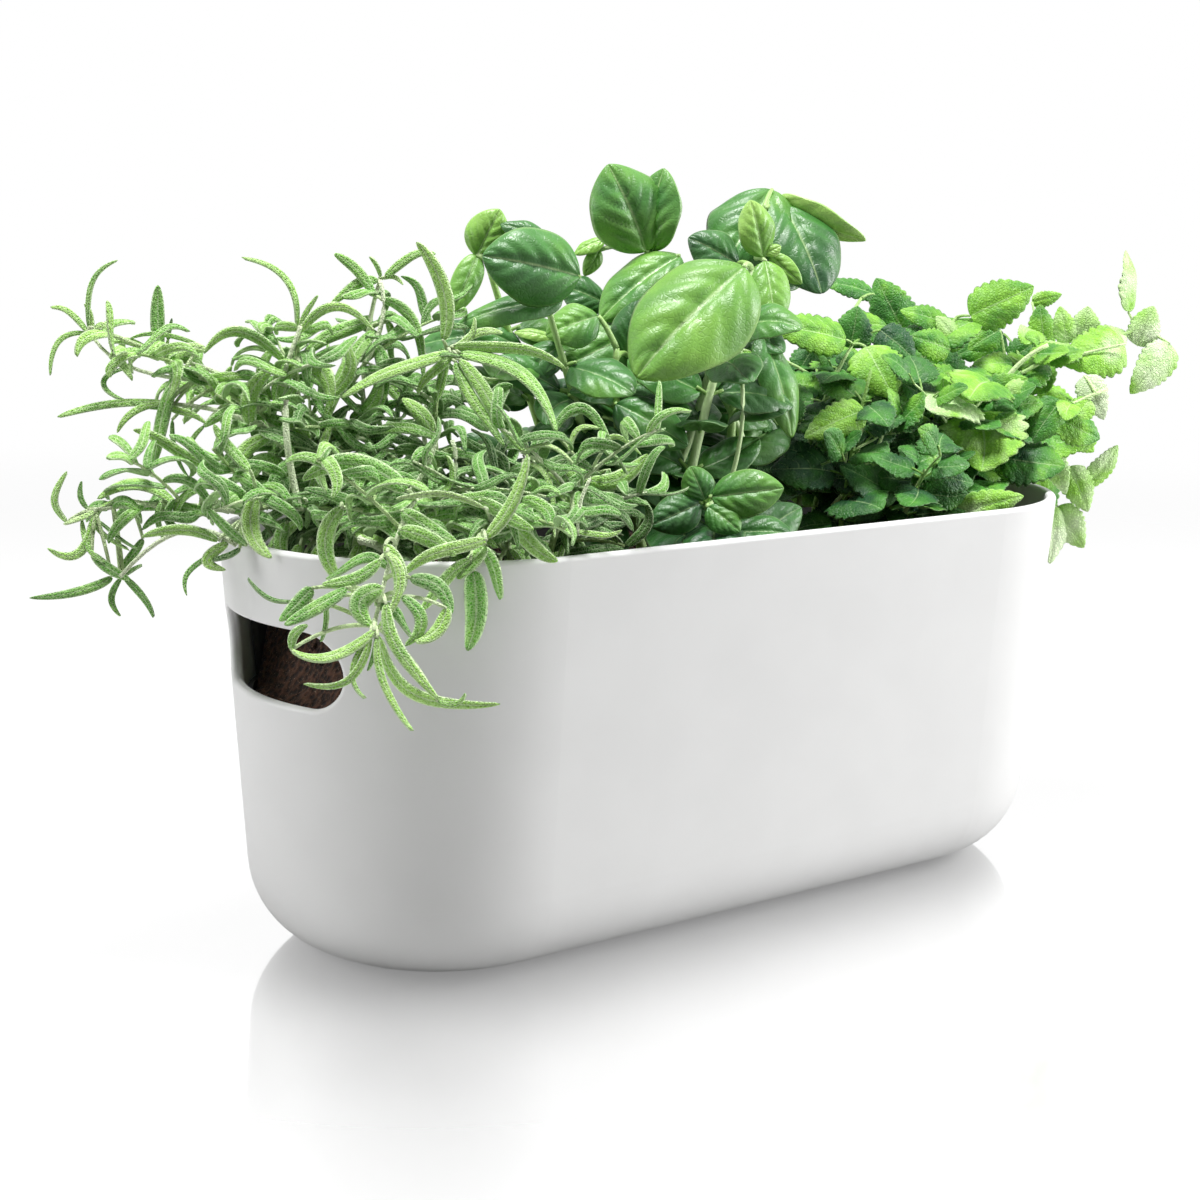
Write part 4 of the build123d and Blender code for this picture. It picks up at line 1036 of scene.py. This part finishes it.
# One leaf as points: its own curve, turned about it, cupped, ribbed and puckered between its veins.
# A leaf on a petiole keeps close to the photograph; the others bend and turn freely.
def leafPoints(leaf, dice):
    kind = herbs[leaf.herb]
    base, middle, tip = leaf.line
    reach = leaf.reach()
    rows, columns = kind["grid"]
    first = 0 if leaf.petiole else kind["petiole"]
    s = 0.5 - 0.5 * np.cos(math.pi * np.linspace(0, 1, rows + 1))
    s = 0.5 * s + 0.5 * np.linspace(0, 1, rows + 1)
    start, span = leafForm["ends"]
    blade = start + span * s
    place = first + (1 - first) * blade
    c = np.linspace(-1, 1, columns + 1)
    c = np.sign(c) * np.abs(c) ** leafForm["crowd"]
    a, b, d = (np.array(p) for p in (base, middle, tip))
    side = np.array(leaf.side)
    loose = leafForm["held"] if leaf.petiole else 1
    t = place[:, None]
    if leaf.hook:
        way = (d - a) / reach
        out = np.cross(side, way)
        angle = leaf.hook * t ** leafForm["hook"]
        sway = dice.uniform(-leafForm["sway"], leafForm["sway"]) * t
        tangent = way * np.cos(angle) - out * np.sin(angle) + side * np.sin(sway)
        tangent /= np.linalg.norm(tangent, axis=1, keepdims=True)
        steps = np.diff(t, axis=0, prepend=0) * reach
        line = a + np.cumsum(tangent * steps, axis=0)
    else:
        line = a * (1 - t) ** 2 + b * (2 * t * (1 - t)) + d * t**2
        tangent = (b - a) * (1 - t) + (d - b) * t
    for way, half in ((side, 1), (side, 2), (np.array((0, 0, 1.0)), 2)):
        curl = loose * kind["curl"] * reach * dice.uniform(-1, 1) / half
        line = line + way * curl * np.sin(half * math.pi * t)
        tangent = tangent + way * curl * half * math.pi * np.cos(half * math.pi * t) / 2
    tangent /= np.linalg.norm(tangent, axis=1, keepdims=True)
    sideways = side - tangent * (tangent @ side)[:, None]
    sideways /= np.linalg.norm(sideways, axis=1, keepdims=True)
    normal = np.cross(sideways, tangent)
    roll = math.radians(loose * dice.uniform(-1, 1) * kind["roll"])
    roll = roll + math.radians(loose * dice.uniform(-1, 1) * kind["twist"]) * (place - 0.5) * 2
    turned = sideways * np.cos(roll)[:, None] + normal * np.sin(roll)[:, None]
    normal = normal * np.cos(roll)[:, None] - sideways * np.sin(roll)[:, None]
    half = leaf.width / 2 * widthAt(kind["shape"], blade)
    across = np.repeat(c[None, :], rows + 1, axis=0)
    reachOut = across.copy()
    if kind["teeth"]:
        spacing, point, mean = leafForm["tooth"]
        inner, rest = leafForm["toothEdge"]
        tooth = np.abs(np.sin(math.pi * kind["teeth"] * (blade**spacing)))[:, None] ** point
        edge = np.clip((np.abs(across) - inner) / rest, 0, 1)
        reachOut *= 1 + edge * (tooth - mean) * kind["toothDepth"]
    full = half[:, None]
    off = np.abs(across)
    lift = (kind["fold"] * off + kind["cup"] * leaf.dome * off**2) * full
    groove = np.exp(-((across / leafForm["groove"]) ** 2))
    lift -= kind["rib"] * groove * full * 2
    vein = np.zeros_like(across)
    if kind["veins"]:
        slope, power = leafForm["slant"]
        step, aside = leafForm["veinStep"]
        soft, margin, rib = leafForm["swell"]
        count, height = leafForm["waves"]
        slant = slope * off**power * leaf.width / reach
        phase = (blade[:, None] - slant) * kind["veins"] * step + aside * np.sign(across)
        vein = np.abs(np.sin(math.pi * phase))
        swell = vein**soft * (1 - off**margin) * (1 - np.exp(-((across / rib) ** 2)))
        lift += kind["pucker"] * full * swell
        waves = np.sin(2 * math.pi * (blade[:, None] * count + dice.random()))
        lift += height * full * off**2 * waves
    points = line[:, None, :] + turned[:, None, :] * (reachOut * full)[:, :, None]
    points += normal[:, None, :] * lift[:, :, None]
    return points, normal, across, blade, vein


stalkForm = {
    "stem": (1, 0.55, 10),  # thickness at both ends, in shares of the stem's, and number of sides
    "petiole": (0.6, 0.42, 7),
    "shortPetiole": (0.42, 0.3, 6),
    "shoot": (0.55, 0.35, 6),
    "seen": (0.7, 0.9, 10),  # taper, tone and number of sides
    "overlap": 0.06,  # how far a short petiole runs on under its blade
    "stemSteps": 14,
    "shootSteps": 5,
    "lift": 0.12,  # how far a shoot bows up, in shares of its reach
    "shootRise": 45,
    "ownTone": (0.3, 0.8),
}


# Gathers the leaves and stalks of one sprig into one mesh
class Sprig:
    def __init__(self, herb, name):
        self.herb = herb
        self.name = name
        self.points, self.faces = [], []
        self.marks = {key: [] for key in ("across", "along", "under", "vein", "tone", "stalk")}
        self.count = 0

    def keep(self, points, **marks):
        self.points.append(points)
        for key, values in self.marks.items():
            values.append(np.broadcast_to(marks.get(key, 0), (len(points),)))
        start = self.count
        self.count += len(points)
        return start

    def leaf(self, leaf, dice):
        kind = herbs[self.herb]
        points, normal, across, place, vein = leafPoints(leaf, dice)
        rows, columns = kind["grid"]
        along = np.repeat(place[:, None], columns + 1, axis=1)
        tone = leaf.tone
        top = self.keep(points.reshape(-1, 3), across=across.ravel(), along=along.ravel(),
                        vein=vein.ravel(), tone=tone)
        inner = slice(1, rows), slice(1, columns)
        drop = normal[1:rows, None, :] * kind["thick"]
        low = self.keep((points[inner] - drop).reshape(-1, 3), across=across[inner].ravel(),
                        along=along[inner].ravel(), vein=vein[inner].ravel(), tone=tone, under=1)
        wide = columns + 1
        for i in range(rows):
            for j in range(columns):
                corners = ((i, j), (i, j + 1), (i + 1, j + 1), (i + 1, j))
                self.faces.append(tuple(top + m * wide + n for m, n in corners))
                flip = []
                for m, n in reversed(corners):
                    edge = m in (0, rows) or n in (0, columns)
                    flip.append(top + m * wide + n if edge else low + (m - 1) * (columns - 1) + n - 1)
                self.faces.append(tuple(flip))
        if leaf.petiole:
            self.grow(leaf.petiole, "petiole", tone)
        elif kind["petiole"]:
            end = kind["petiole"] + stalkForm["overlap"]
            line = [curvePoint(*leaf.line, end * k / 4) for k in range(5)]
            self.grow(line, "shortPetiole", tone)

    def grow(self, line, form, tone):
        thick, thin, sides = stalkForm[form]
        stem = herbs[self.herb]["stem"]
        self.stalk(line, stem * thick, stem * thin, tone, sides)

    def stalk(self, line, thick, thin, tone, sides):
        line = [np.array(p) for p in line]
        rings = len(line)
        ahead = np.array([0.0, 0.3, 1.0])
        loops = []
        for k, place in enumerate(line):
            before, after = line[max(k - 1, 0)], line[min(k + 1, rings - 1)]
            way = (after - before) / np.linalg.norm(after - before)
            u = np.cross(way, ahead)
            if np.linalg.norm(u) < 0.2:
                u = np.cross(way, np.array([1.0, 0, 0]))
            u /= np.linalg.norm(u)
            v = np.cross(way, u)
            radius = thick + (thin - thick) * k / (rings - 1)
            angles = np.arange(sides) * 2 * math.pi / sides
            loops.append(place + radius * (np.cos(angles)[:, None] * u + np.sin(angles)[:, None] * v))
        along = np.repeat(np.linspace(0, 1, rings), sides)
        start = self.keep(np.concatenate(loops), along=along, stalk=1, tone=tone)
        for k in range(rings - 1):
            for j in range(sides):
                a, b = start + k * sides + j, start + k * sides + (j + 1) % sides
                self.faces.append((a, b, b + sides, a + sides))
        self.faces.append(tuple(start + j for j in reversed(range(sides))))
        self.faces.append(tuple(start + (rings - 1) * sides + j for j in range(sides)))

    def finish(self, material):
        thing = makeObject(self.name, np.concatenate(self.points), self.faces, material)
        for key, values in self.marks.items():
            addAttribute(thing, key, np.concatenate(values))
        return thing


# Filling leaves get painted light where they stand clear of the others and painted shade among them: their
# tone rises with height and with distance from the herb's middle, besides a share by chance
paintedLight = {
    "height": (0.15, 0.08),  # from where, and over what rise
    "outward": (0.03, 0.1),
    "weights": (0.35, 0.35, 0.3),  # of height, place and chance
}


def toneWithPaintedLight(herb, point, dice):
    low, high = herbs[herb]["fillTone"]
    aside = abs(point.x - plot["places"][herb]) + abs(point.y)
    parts = []
    for value, (start, span) in ((point.z, paintedLight["height"]), (aside, paintedLight["outward"])):
        parts.append(min(max((value - start) / span, 0), 1))
    byHeight, byPlace, byChance = paintedLight["weights"]
    return low + (high - low) * (byHeight * parts[0] + byPlace * parts[1] + byChance * dice.random())


fillForm = {
    "turn": (90, 40),  # from whorl to whorl, and from sprig to sprig
    "loose": 25,
    "last": 0.98,
    "size": (0.7, 1.15),
    "shrink": 0.35,
    "rise": 22,
    "bow": (0.05, 0.3),
    "width": (0.8, 1.15),
}
shootForm = {
    "places": (0.2, 0.8),  # of the first leaf, and the rest of the way
    "turn": 137,
    "loose": 20,
    "size": (0.75, 1.15),
    "shrink": (1.1, 0.4),
    "rise": (10, 35, 20),  # at the root, more towards the tip, and by chance
    "bow": (0, 0.25),
    "width": (0.75, 1.2),
}


# Filler leaves in whorls up the stem, each whorl turned from the last
def fillerLeaves(herb, stem, number, dice):
    first, step, whorls, many, rise, length, width, least, most = herbs[herb]["fill"]
    byWhorl, bySprig = fillForm["turn"]
    loose, tilt = fillForm["loose"], fillForm["rise"]
    for whorl in range(whorls):
        heading = byWhorl * whorl + bySprig * number + dice.uniform(-loose, loose)
        along = first + step * whorl
        if along > fillForm["last"]:
            break
        for part in range(many):
            size = length * dice.uniform(*fillForm["size"]) * (1 - fillForm["shrink"] * along**2)
            spec = (along, heading + 360 / many * part, rise + dice.uniform(-tilt, tilt), size,
                    dice.uniform(*fillForm["bow"]), width * dice.uniform(*fillForm["width"]))
            tone = toneWithPaintedLight(herb, curvePoint(*stem, along), dice)
            yield stemLeaf(herb, stem, spec, tone, dice.uniform(least, most))


def shootLeaves(herb, shoot, dice):
    many, length, width = herbs[herb]["shootLeaves"]
    least, most = herbs[herb]["fill"][-2:]
    first, rest = shootForm["places"]
    full, less = shootForm["shrink"]
    low, more, chance = shootForm["rise"]
    loose = shootForm["loose"]
    for count in range(many):
        along = first + rest * count / (many - 1)
        heading = shootForm["turn"] * count + dice.uniform(-loose, loose)
        size = length * dice.uniform(*shootForm["size"]) * (full - less * along)
        rise = low + more * along + dice.uniform(-chance, chance)
        bow, wide = dice.uniform(*shootForm["bow"]), width * dice.uniform(*shootForm["width"])
        spec = (along, heading, rise, size, bow, wide)
        tone = toneWithPaintedLight(herb, curvePoint(*shoot, along), dice)
        yield stemLeaf(herb, shoot, spec, tone, dice.uniform(least, most))


def hasRoom(leaf):
    points = leafPoints(leaf, random.Random(1))[0]
    probes = points[::3, ::4].reshape(-1, 3)
    low, high = probes.min(axis=0), probes.max(axis=0)
    past = spare["box"]
    inBox = all(cadBox[0][k] - past <= low[k] and high[k] <= cadBox[1][k] + past for k in range(3))
    return inBox and all(clearOfTrough(p) for p in probes)


# Leaf colours: each tones ramp runs from painted shade at its dark end to painted light at its pale top
leafLook = {
    "rosemary": {
        "tones": (
            (0, (0.012, 0.085, 0.012)), (0.35, (0.11, 0.4, 0.03)),
            (0.7, (0.4, 0.78, 0.11)), (1, (0.66, 0.94, 0.36)),
        ),
        "pale": (0.8, 0.95, 0.62), "under": (0.6, 0.8, 0.42), "net": (0.72, 0.92, 0.5),
        "margin": 0.66, "marginShare": 1.1, "blotchShare": 0.6,
        "ribWidth": 0.18, "ribShare": 0.9, "netShare": 0.6,
        "stalkDark": (0.5, 0.7, 0.28), "stalkLight": (0.84, 0.94, 0.66),
        "rough": (0.55, 0.7), "gloss": 0.25, "blotch": 90,
        "cells": 1150, "netLine": 0.35, "relief": 0.0004,
    },
    "basil": {
        "tones": (
            (0, (0.006, 0.065, 0.012)), (0.25, (0.06, 0.22, 0.035)),
            (0.6, (0.21, 0.45, 0.06)), (1, (0.54, 0.78, 0.22)),
        ),
        # net: dark, painted shade in the valleys between the bumps
        "pale": (0.6, 0.82, 0.38), "under": (0.25, 0.48, 0.14), "net": (0.03, 0.14, 0.015),
        "margin": 0.92, "marginShare": 0.5, "blotchShare": 1.0,
        "ribWidth": 0.05, "ribShare": 0.9, "netShare": 0.12,
        "veinWidth": 0.1, "veinShare": 0.5,
        "stalkDark": (0.3, 0.52, 0.12), "stalkLight": (0.6, 0.78, 0.4),
        "rough": (0.38, 0.5), "gloss": 0.6, "blotch": 32,
        "cells": 520, "netLine": 0.2, "relief": 0.00005,
    },
    "lemonBalm": {
        "tones": (
            (0, (0.01, 0.07, 0.02)), (0.3, (0.07, 0.27, 0.03)),
            (0.6, (0.33, 0.68, 0.07)), (1, (0.8, 0.94, 0.62)),
        ),
        # net: dark, painted shade in the valleys between the bumps
        "pale": (0.6, 0.84, 0.4), "under": (0.45, 0.68, 0.34), "net": (0.03, 0.15, 0.015),
        "margin": 0.92, "marginShare": 0.5, "blotchShare": 1.1,
        "ribWidth": 0.05, "ribShare": 0.8, "netShare": 0.3,
        "veinWidth": 0.34, "veinShare": 0.6,
        "stalkDark": (0.2, 0.42, 0.06), "stalkLight": (0.7, 0.9, 0.45),
        "rough": (0.42, 0.56), "gloss": 0.4, "blotch": 70,
        "cells": 780, "netLine": 0.3, "relief": 0.00014,
    },
}


def leafMaterial(herb):
    look = leafLook[herb]
    shade = Shade(herb + "Leaf")
    across, along = shade.attribute("across"), shade.attribute("along")
    under, vein, tone = (shade.attribute(key) for key in ("under", "vein", "tone"))
    stalk = shade.attribute("stalk")
    offMiddle = across.math("ABSOLUTE")
    blotch = shade.noise(look["blotch"], 3)
    # the tone, which carries painted light and shade, picks the colour off the ramp; blotches vary it at
    # random
    base = shade.ramp(tone + (blotch - 0.5) * look["blotchShare"] + along * 0.06, *look["tones"])
    cells = shade.between(shade.cells(look["cells"], "DISTANCE_TO_EDGE"), 0, look["netLine"])
    # net, veins, rib and margins show more on leaves with more painted light
    bright = 0.4 + tone * 0.6
    # the dark net of basil and lemon balm is painted shade in the valleys of the bumps; rosemary's pale net
    # is its stipple
    colour = shade.mix((1 - cells) * look["netShare"] * bright, base, look["net"])
    if herbs[herb]["veins"]:
        line = 1 - shade.between(vein, 0.0, look["veinWidth"])
        colour = shade.mix(line * look["veinShare"] * bright, colour, look["pale"])
    rib = 1 - shade.between(offMiddle, 0.0, look["ribWidth"])
    colour = shade.mix(rib * look["ribShare"] * bright, colour, look["pale"])
    margin = shade.between(offMiddle, look["margin"], 1.0)
    colour = shade.mix(margin * look["marginShare"] * bright, colour, look["pale"])
    shaded = shade.mix(0.35 + tone * 0.5, base, look["under"])
    colour = shade.mix(under, colour, shaded)
    # stalks take a tone too; a petiole has its leaf's painted light and shade
    colour = shade.mix(stalk, colour, shade.mix(tone, look["stalkDark"], look["stalkLight"]))
    rough = shade.between(shade.noise(300, 2), 0.3, 0.7, look["rough"])
    height = cells + shade.noise(look["cells"] * 1.7, 2) * 0.6
    bumps = shade.bump(height, look["relief"], 1.0)
    return shade.surface(Base_Color=colour, Roughness=rough, Specular_IOR_Level=look["gloss"], Normal=bumps)


leafLooks = {herb: leafMaterial(herb) for herb in herbs}


def growHerb(herb, rows):
    dice = random.Random(herb)
    kind = herbs[herb]
    stems = [stemPoints(herb, row) for row in rows]
    seen = [[] for _ in rows]
    for spec in leafPixels[herb]:
        number, leaf = seenLeaf(herb, spec, stems, dice)
        if leaf:
            seen[number].append(leaf)
    stalks = [seenStalk(spec, stems) for spec in stalkPixels[herb]]
    faces = 0
    for number, (row, stem) in enumerate(zip(rows, stems), 1):
        sprig = Sprig(herb, f"{herb}Sprig{number}")
        steps = stalkForm["stemSteps"]
        sprig.grow([curvePoint(*stem, k / steps) for k in range(steps + 1)], "stem", dice.random())
        taper, tone, sides = stalkForm["seen"]
        for owner, line, radius in stalks:
            if owner == number - 1:
                sprig.stalk(line, radius, radius * taper, tone, sides)
        own = () if seen[number - 1] else ownLeafShares.get((herb, number), ())
        tones = stalkForm["ownTone"]
        placed = seen[number - 1] + [stemLeaf(herb, stem, spec, dice.uniform(*tones)) for spec in own]
        for leaf in placed:
            sprig.leaf(leaf, dice)
        for leaf in fillerLeaves(herb, stem, number, dice):
            if hasRoom(leaf):
                sprig.leaf(leaf, dice)
        for along, reach in kind["shoots"]:
            root = curvePoint(*stem, along)
            way = headed(dice.uniform(-180, 180), dice.uniform(0, stalkForm["shootRise"]))
            bow = Vector((0, 0, reach * stalkForm["lift"]))
            shoot = root, root + way * (reach / 2) + bow, root + way * reach
            steps = stalkForm["shootSteps"]
            line = [curvePoint(*shoot, k / steps) for k in range(steps + 1)]
            if not all(clearOfTrough(p) for p in line):
                continue
            sprig.grow(line, "shoot", dice.random())
            for leaf in shootLeaves(herb, shoot, dice):
                if hasRoom(leaf):
                    sprig.leaf(leaf, dice)
        thing = sprig.finish(leafLooks[herb])
        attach(thing, "insert")
        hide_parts(f"{nodeNames[herb]}_sprig_{number}")
        faces += len(sprig.faces)
    print(herb, "grown:", len(rows), "sprigs", faces, "faces")


for herb, rows in stemShares.items():
    growHerb(herb, rows)

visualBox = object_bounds()
boxes = {"cad": cadBox, "visual": visualBox}
plain = {name: [[float(v) for v in corner] for corner in box] for name, box in boxes.items()}
